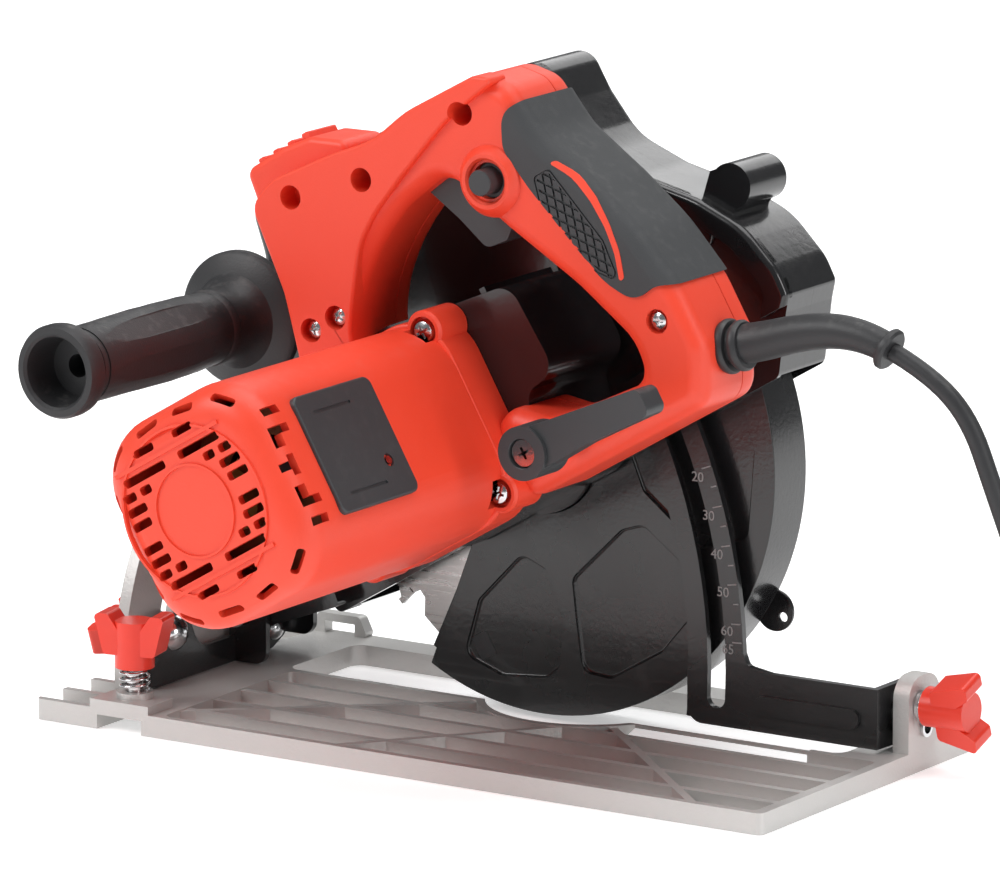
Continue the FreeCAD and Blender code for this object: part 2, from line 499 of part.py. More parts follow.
def handle_parts():
    outer = slab(HANDLE_OUTLINE, HANDLE_Y0, HANDLE_Y1, radius=HANDLE_ROUND)
    cavity = slab(HANDLE_OUTLINE, HANDLE_Y0 + HANDLE_WALL, HANDLE_Y1 - HANDLE_WALL, radius=HANDLE_ROUND,
                  inset=2.8)
    posts = [rod("y", p, 4.6, HANDLE_Y0 + 1, HANDLE_Y1 - 1) for p in HANDLE_SCREWS]
    sleeve = ring("y", (LOCK_X, LOCK_Z), 4.2, 8.0, HANDLE_Y0, HANDLE_Y1)
    shell = fuse([outer.cut(cavity), sleeve] + posts)
    keep_out = [slab(CASE_OUTLINE, HOUSING_FRONT, 10, radius=[10, 10, 6, 8, 8, 8, 12, 14]),
                slab([(-60, -30), (33.5, -30), (33.5, 56.2), (-60, 56.2)], -60, HOUSING_FRONT),
                rod("y", FLANGE_SCREWS[0], 8.6, -60, HOUSING_FRONT)]
    for k in range(4):
        keep_out.append(box(-36 + 24 * k, -30 + 24 * k, -28, 10, 40, 61))
    pocket = slab([(34, 93), (49, 101), (62, 99), (76, 72), (66, 58), (46, 62)], -28.6, -11.4, radius=1)
    bores = [rod("y", (LOCK_X, LOCK_Z), 4.2, -50, 10), rod("y", BUTTON_PLACE, 5.4, -50, -30)]
    bores += [rod("y", p, 1.6, -50, -3) for p in HANDLE_SCREWS]
    bores += [rod("y", p, 3.8, -50, -30) for p in HANDLE_SCREWS]
    relief = strain_relief()
    shell = shell.cut(fuse(keep_out + [pocket] + bores))
    left = pitched(shell.common(box(-60, 160, -60, HANDLE_SEAM, -60, 160))).cut(relief)
    right = pitched(shell.common(box(-60, 160, HANDLE_SEAM, 10, -60, 160))).cut(relief)
    save("handle_left", largest(left))
    save("handle_right", largest(right))
    grip = [(84, 104), (93, 102), (98, 86), (109, 62), (117, 40), (121, 17), (106, 22), (92, 34),
            (85, 54), (80, 74), (79, 90)]
    cover = slab(grip, HANDLE_Y0 - 1.0, HANDLE_Y0, radius=[4, 4, 20, 40, 40, 4, 6, 12, 30, 20, 8])
    save_body("grip_cover", cover)
    screws = [fuse([rod("y", p, 1.5, -30, -5), rod("y", p, 3.2, -32.4, -30)]) for p in HANDLE_SCREWS]
    save_body("handle_screws", *[s.cut(cross_recess(p, -32.4)) for s, p in zip(screws, HANDLE_SCREWS)])
    save_body("switch_block", box(76, 92, -30, -8, 58, 84).cut(box(75, 78, -22, -16, 68, 74)))
    trigger = slab([(38, 94.5), (48, 99), (56, 94), (69, 70), (60, 63.5), (51, 64.5), (46, 78)], -28, -12,
                   radius=[3, 3, 3, 2, 2, 4, 30])
    pin_hole = rod("y", TRIGGER_PIVOT, 1.6, -40, 0)
    save_body("trigger", trigger.cut(pin_hole))
    save_body("trigger_pin", rod("y", TRIGGER_PIVOT, 1.5, -28.6, -11.4))
    button = fuse([rod("y", BUTTON_PLACE, 4.6, -45.0, -35.5), rod("y", BUTTON_PLACE, 6.4, -37.0, -35.5)])
    save_body("lock_off_button", button)


def largest(shape):
    return max(shape.Solids, key=lambda solid: solid.Volume)


# ---------------------------------------------------------------- saw body: the rest
RELIEF_ROUTE = [(92, CORD_Y, 151.5), (112, CORD_Y, 154.8), (137, CORD_Y, 163), (157, CORD_Y, 163.8),
                (169, CORD_Y, 158.8)]
CORD_ROUTE = [(169, CORD_Y, 158.8), (184, CORD_Y, 152.5), (199, CORD_Y, 139), (208, CORD_Y, 117),
              (215, -15, 92), (219, -10, 68), (220, -3, 46), (220.5, 9, 26), (220.5, 27, 12.5),
              (220.7, 49, 5), (224, 71, 3.5)]
TAIL_ROUTE = [(303.9, 38, 13.4), (304.6, 24, 10.6), (304, 8, 9.2)]


def tube_path(route):
    """Straight runs joined by tangent arcs, each as large as its two runs allow."""
    points = [Vector(*p) for p in route]
    edges, start, tightest = [], points[0], 1e9
    for i in range(1, len(points) - 1):
        back = points[i - 1] - points[i]
        ahead = points[i + 1] - points[i]
        turn = math.pi - back.getAngle(ahead)
        reach = 0.45 * min(back.Length, ahead.Length)
        radius = reach / math.tan(turn / 2)
        tightest = min(tightest, radius)
        a = points[i] + back.normalize() * reach
        b = points[i] + ahead.normalize() * reach
        inward = (back + ahead).normalize()
        middle = points[i] + inward * (radius / math.cos(turn / 2) - radius)
        edges.append(Part.LineSegment(start, a).toShape())
        edges.append(Part.Arc(a, middle, b).toShape())
        start = b
    edges.append(Part.LineSegment(start, points[-1]).toShape())
    return Part.Wire(edges), tightest


def tube(route, radius):
    path, tightest = tube_path(route)
    first = Vector(*route[0])
    circle = Part.Wire(Part.makeCircle(radius, first, Vector(*route[1]) - first))
    solid = path.makePipeShell([circle], True, False)
    expected = math.pi * radius ** 2 * path.Length
    print(f"  tube length {path.Length:.1f}, tightest radius {tightest:.1f},",
          f"volume ratio {solid.Volume / expected:.4f}")
    return solid


def strain_relief():
    """The ribbed rubber sleeve that the lead leaves the handle through."""
    sleeve = tube(RELIEF_ROUTE, 6.4)
    start = Vector(*RELIEF_ROUTE[0])
    along = (Vector(*RELIEF_ROUTE[1]) - start).normalize()
    collars = [Part.makeCylinder(9.2 - 0.5 * k, 3.4, start + along * (6.5 + 5.0 * k),
                                 along) for k in range(3)]
    mouth = Vector(*RELIEF_ROUTE[-1])
    heading = (mouth - Vector(*RELIEF_ROUTE[-2])).normalize()
    return fuse([sleeve, Part.makeCylinder(7.4, 2.5, mouth - heading * 2.5, heading)] + collars)


def coil_solid():
    """The outer shape of the wound lead, lying flat on the floor."""
    coil = ring("z", (COIL_X, COIL_Y), COIL_TURN - COIL_HALF, COIL_TURN + COIL_HALF, 0.0, COIL_HEIGHT)
    coil = coil.makeFillet(2.8, coil.Edges[:])
    return coil.cut(tube(CORD_ROUTE, CORD_RADIUS + 0.02)).cut(tube(TAIL_ROUTE, CORD_RADIUS + 0.02))


def plug_solids():
    mouth = Vector(*TAIL_ROUTE[-1])
    heading = (mouth - Vector(*TAIL_ROUTE[-2])).normalize()
    sleeve = Part.makeCone(4.6, 6.0, 14, mouth, heading)
    body = box(-9, 9, -6.6, 6.6, 0, 32)
    body = body.makeFillet(4.0, body.Edges)
    body.Placement = FreeCAD.Placement(mouth + heading * 12, FreeCAD.Rotation(
        Vector(1, 0, 0), Vector(0, 0, 1), heading, "ZXY"))
    across = heading.cross(Vector(0, 0, 1)).normalize()
    pins = [Part.makeCylinder(2.0, 19, mouth + heading * 44 + across * side * 5.5,
                              heading) for side in (-1, 1)]
    return fuse([sleeve, body]), pins


def cord_parts():
    save("strain_relief", strain_relief())
    save("mains_cord", tube(CORD_ROUTE, CORD_RADIUS), tube(TAIL_ROUTE, CORD_RADIUS))
    save("cord_coil", coil_solid())
    body, pins = plug_solids()
    save("plug_body", body)
    save("plug_pins", *pins)


def auxiliary_handle():
    end = -118.0
    profile = [(0, -3), (24.5, -3), (24.5, -8), (14, -13), (13.2, -30), (14.6, -60), (14.2, -90),
               (13.4, -108), (16.5, -111), (16.5, end), (12.2, end), (10.4, -104), (0, -104)]
    points = [Vector(AUX_X + r, y, AUX_Z) for r, y in profile]
    face = Part.Face(Part.makePolygon(points + [points[0]]))
    handle = face.revolve(Vector(AUX_X, 0, AUX_Z), Vector(0, 1, 0), 360)
    return handle.cut(rod("y", (AUX_X, AUX_Z), 4.0, -40, 0))


def lever_parts():
    bolt = rod("y", (LOCK_X, LOCK_Z), 3.3, -66, 24.0)
    save_body("depth_lock_bolt", bolt)
    save_body("lock_washer", ring("y", (LOCK_X, LOCK_Z), 3.4, 9.0, 16.4, 18.8))
    boss = rod("y", (LOCK_X, LOCK_Z), 9.4, -71, -55)
    x, z = LOCK_X, LOCK_Z
    arm = slab([(x, z - 8), (x + 22, z - 7.4), (x + 53, z - 9), (x + 53, z + 1), (x + 30, z + 4),
                (x, z + 8)], -69.5, -58.5, radius=[1, 10, 3, 3, 12, 1])
    lever = fuse([boss, arm]).cut(fuse([rod("y", (x, z), 3.4, -68, -50),
                                        rod("y", (x, z), 5.2, -75, -67.9)]))
    save_body("depth_lever", lever)
    head = rod("y", (x, z), 4.6, -69.6, -68.0)
    save_body("lever_screw", head.cut(cross_recess((x, z), -69.6)))


def blade_parts():
    outline = []
    step = 360.0 / BLADE_TEETH
    for i in range(BLADE_TEETH):
        for share, r in ((0.0, BLADE_RADIUS), (0.24, 89.5), (0.62, 88.6), (0.8, 83.5), (0.95, 83.0),
                         (0.995, 86.0)):
            a = math.radians(-(i + share) * step)
            outline.append((r * math.cos(a), r * math.sin(a)))
    disc = slab(outline, BLADE_Y - 0.7, BLADE_Y + 0.7)
    tips = []
    for i in range(BLADE_TEETH):
        tip = box(BLADE_RADIUS - 6.5, BLADE_RADIUS, BLADE_Y - 1.1, BLADE_Y + 1.1, -2.2, 0)
        tip.rotate(Vector(0, 0, 0), Vector(0, 1, 0), i * step)
        tips.append(tip)
    blade = disc.multiFuse(tips).cut(rod("y", (0, 0), 10.05, 30, 40))
    save_body("saw_blade", blade)
    inner, outer = BLADE_Y - 0.7, BLADE_Y + 0.7
    save_body("blade_flanges", ring("y", (0, 0), 10.05, 20, inner - 3.6, inner),
              ring("y", (0, 0), 4.1, 20, outer, outer + 3.5))
    bolt = fuse([rod("y", (0, 0), 4.0, 24, outer + 3.5), hexagon((0, 0), 13, outer + 3.5, outer + 9)])
    save_body("blade_bolt", bolt)
    spindle = fuse([rod("y", (0, 0), 5.0, -23.5, -9), rod("y", (0, 0), 6.0, -9, 22),
                    rod("y", (0, 0), 6.9, 22, 29), rod("y", (0, 0), 10.0, 29, outer - 0.3)])
    save_body("spindle", spindle.cut(rod("y", (0, 0), 4.05, 23.5, 60)))
    wheel_turn = math.degrees(math.atan2(MOTOR_Z, MOTOR_X))
    save_body("driven_gear", gear((0, 0), WHEEL_TEETH, 6.0, -8, 2, wheel_turn))


def lower_guard_parts():
    swing_keep = slab([(-160, -110), (-91, -55), (-45, -18), (-26, 0), (0, 29), (28, 10.2), (150, 54.6),
                       (150, 160),
                       (-160, 160)], 20, 50)
    near = ring("y", (0, 0), 22.8, GUARD_RADIUS, 25.0, 26.5).cut(swing_keep)
    hub = ring("y", (0, 0), 22.8, 30, 25.0, 26.5)
    rim = ring("y", (0, 0), GUARD_RADIUS - 1.5, GUARD_RADIUS, 25.0, 46.0).cut(swing_keep)
    far = ring("y", (0, 0), 60, GUARD_RADIUS, 44.5, 46.0).cut(swing_keep)
    ear = rod("y", (46.5, -86.5), 7.5, 44.5, 46.0)
    guard = fuse([near, hub, rim, far, ear]).cut(rod("y", (48.5, -90), 1.7, 40, 50))
    save_body("lower_guard", guard)
    save_body("guard_stop", box(-63, -56, 26.5, 31.0, -56, -47))
    turns = [Part.makeTorus(26.0, 0.6, Vector(0, 27.6 + 1.3 * k, 0), Vector(0, 1, 0)) for k in range(2)]
    save_body("guard_spring", *turns)


def control_parts():
    save_body("spindle_lock_button", fuse([rod("x", (8, 0), 3.0, -58, -36),
                                           rod("x", (8, 0), 6.2, -62, -54)]))
    save_body("depth_pivot_pin", fuse([rod("y", DEPTH_PIVOT, 3.9, 9.0, 44.0),
                                       rod("y", DEPTH_PIVOT, 6.5, 7.0, 10.2),
                                       rod("y", DEPTH_PIVOT, 5.6, 43.3, 45.3)]))
    save_body("auxiliary_handle", auxiliary_handle())
    save_body("auxiliary_stud", rod("y", (AUX_X, AUX_Z), 3.9, -38, 14.5))


base_parts()
clamp_parts()
bevel_frame_parts()
casting_parts()
motor_parts()
handle_parts()
cord_parts()
lever_parts()
blade_parts()
lower_guard_parts()
control_parts()
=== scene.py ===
# %% [markdown]
# # A corded circular saw, finished around its CAD frame
# The CAD model fixes where every part sits and how it moves.  Here each visible part gets its
# moulded, cast or turned surface.  The frame is loaded first, so that every new piece can be
# drawn straight at its place, in metres, with nothing to fit afterwards.

# %% Load the frame
import math
import bpy
from mathutils import Matrix, Vector


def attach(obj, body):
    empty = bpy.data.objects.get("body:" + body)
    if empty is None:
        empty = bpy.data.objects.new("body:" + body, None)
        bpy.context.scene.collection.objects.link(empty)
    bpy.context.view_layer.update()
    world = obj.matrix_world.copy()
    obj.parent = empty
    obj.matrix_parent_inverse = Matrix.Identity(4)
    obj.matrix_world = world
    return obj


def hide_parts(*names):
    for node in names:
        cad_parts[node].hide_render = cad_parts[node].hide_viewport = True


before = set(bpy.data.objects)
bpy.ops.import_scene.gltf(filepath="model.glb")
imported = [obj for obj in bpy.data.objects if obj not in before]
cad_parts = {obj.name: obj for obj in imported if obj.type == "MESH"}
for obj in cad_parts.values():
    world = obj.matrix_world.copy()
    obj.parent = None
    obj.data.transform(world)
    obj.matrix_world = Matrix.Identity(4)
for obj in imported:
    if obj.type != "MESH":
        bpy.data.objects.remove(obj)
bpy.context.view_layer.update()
MM = 0.001
SPINDLE_HEIGHT, PITCH = 97.5, math.radians(30.3)
REST = Matrix.Translation((0, 0, SPINDLE_HEIGHT * MM)) @ Matrix.Rotation(-PITCH, 4, "Y")

# %% [markdown]
# ## Camera
# A product picture is taken from far away with a long lens, so parallel edges stay parallel.
# The same look comes from a camera about three metres off, aimed a little above the middle of
# the saw, and a focal length that fills the frame.

# %% Camera
AIM = Vector((-1.347, 0.0, 106.886)) * MM
TOWARDS_CAMERA = Vector((0.5338, -0.8193, 0.2094)).normalized()
CAMERA_DISTANCE, FOCAL_LENGTH = 3.1337, 324.0
camera_data = bpy.data.cameras.new("product_camera")
camera_data.lens = FOCAL_LENGTH
camera_data.clip_end = 50.0
camera = bpy.data.objects.new("product_camera", camera_data)
bpy.context.scene.collection.objects.link(camera)
camera.location = AIM + TOWARDS_CAMERA * CAMERA_DISTANCE
camera.rotation_euler = (-TOWARDS_CAMERA).to_track_quat("-Z", "Y").to_euler()
bpy.context.scene.camera = camera
print("camera at", [round(v, 3) for v in camera.location])

# %% [markdown]
# ## The mains lead
# A rubber lead is one smooth line of constant thickness.  A NURBS curve with a round bevel is
# that exactly: a few control points give the fall from the sleeve to the floor, and a dozen or
# more per turn give the coil.  The turns lie in three layers, each in the grooves of the last.
# The curve is then made a mesh, because a curve's own bounds are far wider than its tube.

# %% The route of the lead
LEAD_RADIUS = 3.25
COIL_X, COIL_Y = 265.5, 58.0
fall = [(169, -20, 158.8), (184, -20, 152.5), (199, -20, 139), (208, -20, 117), (215, -15, 92),
        (219, -10, 68), (220, -3, 46), (220.5, 9, 26), (220.5, 27, 12.5), (220.7, 49, 5)]
tail = [(304.2, 38, 13.6), (304.6, 24, 11.0), (304, 8, 9.2)]
LAYERS = [(45.0, 3.4), (38.5, 3.4), (32.0, 3.4), (25.5, 3.4), (28.7, 9.0), (35.2, 9.0), (41.7, 9.0),
          (38.4, 14.6)]
TURN_POINTS, STEP_POINTS = 15, 4
COIL_TURNS, START_ANGLE, WHOLE_TURNS = 7.45, 162.0, 7
coil = []
total_points = 1 + int(TURN_POINTS * COIL_TURNS)
for i in range(total_points):
    turn, place = divmod(i, TURN_POINTS)
    radius, height = LAYERS[turn]
    following = LAYERS[min(turn + 1, len(LAYERS) - 1)]
    blend = max(0.0, (place - (TURN_POINTS - STEP_POINTS)) / STEP_POINTS)
    radius += (following[0] - radius) * blend
    height += (following[1] - height) * blend
    angle = math.radians(START_ANGLE * (1 - i / (total_points - 1))
                         - 360.0 * WHOLE_TURNS * i / (total_points - 1))
    coil.append((COIL_X + radius * math.cos(angle), COIL_Y + radius * math.sin(angle), height))


def nurbs_lead(name, route, radius):
    """A round lead along one smooth open curve."""
    curve = bpy.data.curves.new(name, "CURVE")
    curve.dimensions = "3D"
    curve.bevel_depth = radius * MM
    curve.bevel_resolution = 5
    curve.use_fill_caps = True
    spline = curve.splines.new("NURBS")
    spline.points.add(len(route) - 1)
    for control, place in zip(spline.points, route):
        control.co = (*(Vector(place) * MM), 1.0)
    spline.order_u = 3
    spline.use_endpoint_u = True
    spline.resolution_u = 6
    lead = bpy.data.objects.new(name, curve)
    bpy.context.scene.collection.objects.link(lead)
    return lead


def made_mesh(obj):
    """Turn a curve object into a mesh."""
    bpy.ops.object.select_all(action="DESELECT")
    obj.select_set(True)
    bpy.context.view_layer.objects.active = obj
    bpy.ops.object.convert(target="MESH")
    return bpy.context.object


route = fall + coil + tail
centreline = made_mesh(nurbs_lead("lead_centreline", route, 0))
bpy.data.objects.remove(centreline)
lead = made_mesh(nurbs_lead("mains_lead", route, LEAD_RADIUS))
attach(lead, "saw_body")
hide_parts("mains_cord", "cord_coil")
print("lead control points", len(route))

# %% [markdown]
# ## Floor and light
# A pale floor that runs past the view on every side leaves no horizon, and glows a little so that
# it stays white.  A broad soft light from the front left shows the shapes, one from above and one
# from the right give the black castings their bright lines, a weak one from behind parts the saw
# from the floor, and a weak sky keeps the shadows open.

# %% Floor and light
FLOOR_SIZE = 16.0
bpy.ops.object.select_all(action="DESELECT")
bpy.ops.mesh.primitive_plane_add(size=FLOOR_SIZE, location=(0, 0, -0.0002))
floor = bpy.context.object
floor.name = "studio_floor"
floor_paint = bpy.data.materials.new("studio_floor_paint")
floor_paint.use_nodes = True
floor_look = {"Base Color": (0.93, 0.93, 0.93, 1), "Roughness": 0.7, "Emission Color": (1, 1, 1, 1),
              "Emission Strength": 0.42}
for socket, value in floor_look.items():
    floor_paint.node_tree.nodes["Principled BSDF"].inputs[socket].default_value = value
floor.data.materials.append(floor_paint)


def soft_box(name, place, aim, width, height, watts):
    """A rectangular studio light that points at a place."""
    data = bpy.data.lights.new(name, "AREA")
    data.shape = "RECTANGLE"
    data.size, data.size_y, data.energy = width, height, watts
    lamp = bpy.data.objects.new(name, data)
    bpy.context.scene.collection.objects.link(lamp)
    lamp.location = place
    lamp.rotation_euler = (Vector(aim) - Vector(place)).to_track_quat("-Z", "Y").to_euler()
    return lamp


soft_box("key_light", (-1.3, -1.7, 1.9), (0, 0, 0.1), 1.6, 1.2, 46)
soft_box("top_light", (0.2, 0.3, 2.2), (0, 0, 0.1), 2.4, 1.6, 34)
soft_box("side_light", (2.3, -0.3, 1.0), (0, 0, 0.12), 0.7, 1.8, 18)
soft_box("back_light", (-0.4, 2.2, 1.4), (0, 0, 0.1), 2.0, 0.8, 10)
world = bpy.data.worlds.new("studio_sky")
bpy.context.scene.world = world
world.use_nodes = True
world.node_tree.nodes["Background"].inputs["Color"].default_value = (0.96, 0.98, 1.0, 1)
world.node_tree.nodes["Background"].inputs["Strength"].default_value = 0.2
bpy.context.scene.view_settings.view_transform = "Standard"

# %% [markdown]
# ## Effects that several finishes share
# Moulded plastic, paint, rubber and cast metal all have a fine grain, and all are a little uneven
# in gloss and shade where hands and tools have touched them.  Each effect is one node group, made
# once and placed in every finish with its own values.  The groups read Object coordinates, so a
# pattern keeps its true size on every piece.

# %% Node groups
def node_group(name, inputs, outputs):
    """An empty shader group with float inputs and outputs."""
    group = bpy.data.node_groups.new(name, "ShaderNodeTree")
    for label, value in inputs:
        socket = group.interface.new_socket(name=label, in_out="INPUT", socket_type="NodeSocketFloat")
        socket.default_value = value
    for label in outputs:
        group.interface.new_socket(name=label, in_out="OUTPUT", socket_type="NodeSocketFloat")
    start, end = group.nodes.new("NodeGroupInput"), group.nodes.new("NodeGroupOutput")
    coordinates = group.nodes.new("ShaderNodeTexCoord")
    return group, start, end, coordinates


fine_grain, start, end, coordinates = node_group("fine_grain", [("Scale", 900.0), ("Coarseness", 0.5)],
                                                 ["Height"])
small = fine_grain.nodes.new("ShaderNodeTexNoise")
small.inputs["Detail"].default_value = 3.0
fine_grain.links.new(coordinates.outputs["Object"], small.inputs["Vector"])
fine_grain.links.new(start.outputs["Scale"], small.inputs["Scale"])
fine_grain.links.new(start.outputs["Coarseness"], small.inputs["Roughness"])
fine_grain.links.new(small.outputs["Fac"], end.inputs["Height"])

handling, start, end, coordinates = node_group("handling_marks", [("Size", 14.0)], ["Patches", "Streaks"])
patches = handling.nodes.new("ShaderNodeTexNoise")
patches.inputs["Detail"].default_value = 5.0
patches.inputs["Roughness"].default_value = 0.62
handling.links.new(coordinates.outputs["Object"], patches.inputs["Vector"])
handling.links.new(start.outputs["Size"], patches.inputs["Scale"])
handling.links.new(patches.outputs["Fac"], end.inputs["Patches"])
stretch = handling.nodes.new("ShaderNodeMapping")
stretch.inputs["Scale"].default_value = (40.0, 900.0, 700.0)
streaks = handling.nodes.new("ShaderNodeTexNoise")
streaks.inputs["Scale"].default_value = 1.0
streaks.inputs["Detail"].default_value = 4.0
handling.links.new(coordinates.outputs["Object"], stretch.inputs["Vector"])
handling.links.new(stretch.outputs["Vector"], streaks.inputs["Vector"])
handling.links.new(streaks.outputs["Fac"], end.inputs["Streaks"])

settled_dust, start, end, coordinates = node_group("settled_dust", [("Amount", 0.25)], ["Mask"])
geometry = settled_dust.nodes.new("ShaderNodeNewGeometry")
split = settled_dust.nodes.new("ShaderNodeSeparateXYZ")
speckle = settled_dust.nodes.new("ShaderNodeTexNoise")
speckle.inputs["Scale"].default_value = 260.0
speckle.inputs["Detail"].default_value = 6.0
facing = settled_dust.nodes.new("ShaderNodeMapRange")
facing.inputs["From Min"].default_value = 0.35
only_specks = settled_dust.nodes.new("ShaderNodeMapRange")
only_specks.inputs["From Min"].default_value = 0.52
only_specks.inputs["From Max"].default_value = 0.72
times = settled_dust.nodes.new("ShaderNodeMath")
times.operation = "MULTIPLY"
scaled = settled_dust.nodes.new("ShaderNodeMath")
scaled.operation = "MULTIPLY"
settled_dust.links.new(coordinates.outputs["Object"], speckle.inputs["Vector"])
settled_dust.links.new(geometry.outputs["Normal"], split.inputs["Vector"])
settled_dust.links.new(split.outputs["Z"], facing.inputs["Value"])
settled_dust.links.new(speckle.outputs["Fac"], only_specks.inputs["Value"])
settled_dust.links.new(facing.outputs["Result"], times.inputs[0])
settled_dust.links.new(only_specks.outputs["Result"], times.inputs[1])
settled_dust.links.new(times.outputs["Value"], scaled.inputs[0])
settled_dust.links.new(start.outputs["Amount"], scaled.inputs[1])
settled_dust.links.new(scaled.outputs["Value"], end.inputs["Mask"])
print("groups", [g.name for g in bpy.data.node_groups])

# %% [markdown]
# ## Finishes
# Every finish is a Principled shader with the same three workings around it: the shade moves a
# little with the handling patches, the roughness moves with them too, and the grain feeds a Bump.
# The numbers make the material: grain size in marks per metre, grain depth in metres.

# %% A finish
def finish(name, colour, roughness, grain, depth, metallic=0.0, coat=0.0, spread=0.08, shade=0.86,
           dust=0.1, patch=14.0, streaky=False, specular=0.5, coarseness=0.5):
    """A Principled material with grain, uneven gloss, uneven shade and a trace of dust."""
    material = bpy.data.materials.new(name)
    material.use_nodes = True
    nodes, links = material.node_tree.nodes, material.node_tree.links
    shader = nodes["Principled BSDF"]
    shader.inputs["Metallic"].default_value = metallic
    shader.inputs["Coat Weight"].default_value = coat
    shader.inputs["Coat Roughness"].default_value = 0.08
    shader.inputs["Specular IOR Level"].default_value = specular
    grain_node, marks, dusty = (nodes.new("ShaderNodeGroup") for _ in range(3))
    grain_node.node_tree, marks.node_tree, dusty.node_tree = fine_grain, handling, settled_dust
    grain_node.inputs["Scale"].default_value = grain
    grain_node.inputs["Coarseness"].default_value = coarseness
    marks.inputs["Size"].default_value = patch
    dusty.inputs["Amount"].default_value = dust
    mark = marks.outputs["Streaks" if streaky else "Patches"]
    tone = nodes.new("ShaderNodeMix")
    tone.data_type = "RGBA"
    tone.inputs["A"].default_value = (*[c * shade for c in colour], 1)
    tone.inputs["B"].default_value = (*colour, 1)
    links.new(mark, tone.inputs["Factor"])
    over = nodes.new("ShaderNodeMix")
    over.data_type = "RGBA"
    over.inputs["B"].default_value = (0.55, 0.53, 0.5, 1)
    links.new(tone.outputs["Result"], over.inputs["A"])
    links.new(dusty.outputs["Mask"], over.inputs["Factor"])
    links.new(over.outputs["Result"], shader.inputs["Base Color"])
    gloss = nodes.new("ShaderNodeMapRange")
    gloss.inputs["From Min"].default_value = 0.3
    gloss.inputs["From Max"].default_value = 0.7
    gloss.inputs["To Min"].default_value = max(0.03, roughness - spread)
    gloss.inputs["To Max"].default_value = min(1.0, roughness + spread)
    links.new(mark, gloss.inputs["Value"])
    links.new(gloss.outputs["Result"], shader.inputs["Roughness"])
    bump = nodes.new("ShaderNodeBump")
    bump.inputs["Strength"].default_value = 1.0
    bump.inputs["Distance"].default_value = depth
    links.new(grain_node.outputs["Height"], bump.inputs["Height"])
    links.new(bump.outputs["Normal"], shader.inputs["Normal"])
    return material


finishes = {
    "red_plastic": finish("coral_red_plastic", (0.86, 0.062, 0.026), 0.44, 1500, 0.00006, spread=0.06,
                          shade=0.95,
                          dust=0.03),
    "red_knob": finish("signal_red_knob", (0.84, 0.045, 0.022), 0.33, 1100, 0.00003, spread=0.07,
                       dust=0.04),
    "black_nylon": finish("gloss_black_nylon", (0.012, 0.012, 0.013), 0.2, 380, 0.00005, coat=0.4,
                          spread=0.09,
                          shade=0.7, dust=0.05),
    "black_steel": finish("satin_black_paint", (0.014, 0.014, 0.015), 0.27, 650, 0.00007, coat=0.25,
                          spread=0.08,
                          shade=0.7, dust=0.06),
    "soft_grip": finish("charcoal_soft_grip", (0.043, 0.045, 0.048), 0.62, 2200, 0.00009, spread=0.06,
                        dust=0.05),
    "rubber_black": finish("black_rubber", (0.024, 0.024, 0.026), 0.5, 1300, 0.00008, spread=0.1, dust=0.1),
    "dark_plastic": finish("dark_grey_plastic", (0.04, 0.042, 0.045), 0.45, 1800, 0.00006, spread=0.07,
                           dust=0.06),
    "cast_aluminium": finish("cast_aluminium", (0.60, 0.59, 0.575), 0.44, 900, 0.00016, metallic=0.55,
                             spread=0.1,
                             shade=0.84, dust=0.08, patch=22, coarseness=0.6),
    "zinc_steel": finish("bright_zinc", (0.72, 0.72, 0.73), 0.16, 700, 0.00003, metallic=1.0, spread=0.06,
                         shade=0.85, dust=0.0),
    "bright_steel": finish("turned_steel", (0.55, 0.55, 0.56), 0.25, 900, 0.00004, metallic=1.0,
                           spread=0.08,
                           dust=0.0, streaky=True),
    "blade_steel": finish("ground_blade_steel", (0.62, 0.61, 0.6), 0.3, 900, 0.00004, metallic=1.0,
                          spread=0.1,
                          shade=0.8, dust=0.0, streaky=True),
    "copper_core": finish("wound_core", (0.32, 0.13, 0.06), 0.42, 1800, 0.00012, metallic=0.6, dust=0.15),
    "brass": finish("brass_fitting", (0.66, 0.45, 0.16), 0.28, 900, 0.00003, metallic=1.0, dust=0.05),
}
for name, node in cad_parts.items():
    slot = node.data.materials[0].name if node.data.materials else ""
    for key, material in finishes.items():
        if slot.startswith(key):
            node.data.materials.clear()
            node.data.materials.append(material)
            break
    else:
        print("no finish for", name, slot)
lead.data.materials.append(finishes["rubber_black"])
print("finishes", len(finishes), "nodes", len(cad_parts))

# %% [markdown]
# ## Tools for shaping
# Most parts of a saw are plates with rounded edges.  A plate starts as a filled circle whose points
# are set on the part's outline, and it is extruded to its thickness.  Its rims are then bevelled,
# and holes are cut by boolean tools.  These few helpers do that, and put the result in place.

# %% Picking and modifiers
def only(*objects):
    bpy.ops.object.select_all(action="DESELECT")
    for item in objects:
        item.select_set(True)
    bpy.context.view_layer.objects.active = objects[0]


def apply_modifier(obj, kind, **settings):
    only(obj)
    modifier = obj.modifiers.new(kind.lower(), kind)
    for key, value in settings.items():
        setattr(modifier, key, value)
    bpy.ops.object.modifier_apply(modifier=modifier.name)


def pick_edges(obj, test):
    """Edit mode, with the edges picked whose two ends both pass the test (in millimetres)."""
    only(obj)
    bpy.ops.object.mode_set(mode="EDIT")
    bpy.ops.mesh.select_mode(type="EDGE")
    bpy.ops.mesh.select_all(action="DESELECT")
    bpy.ops.object.mode_set(mode="OBJECT")
    points = [v.co / MM for v in obj.data.vertices]
    for edge in obj.data.edges:
        edge.select = all(test(points[i]) for i in edge.vertices)
    bpy.ops.object.mode_set(mode="EDIT")


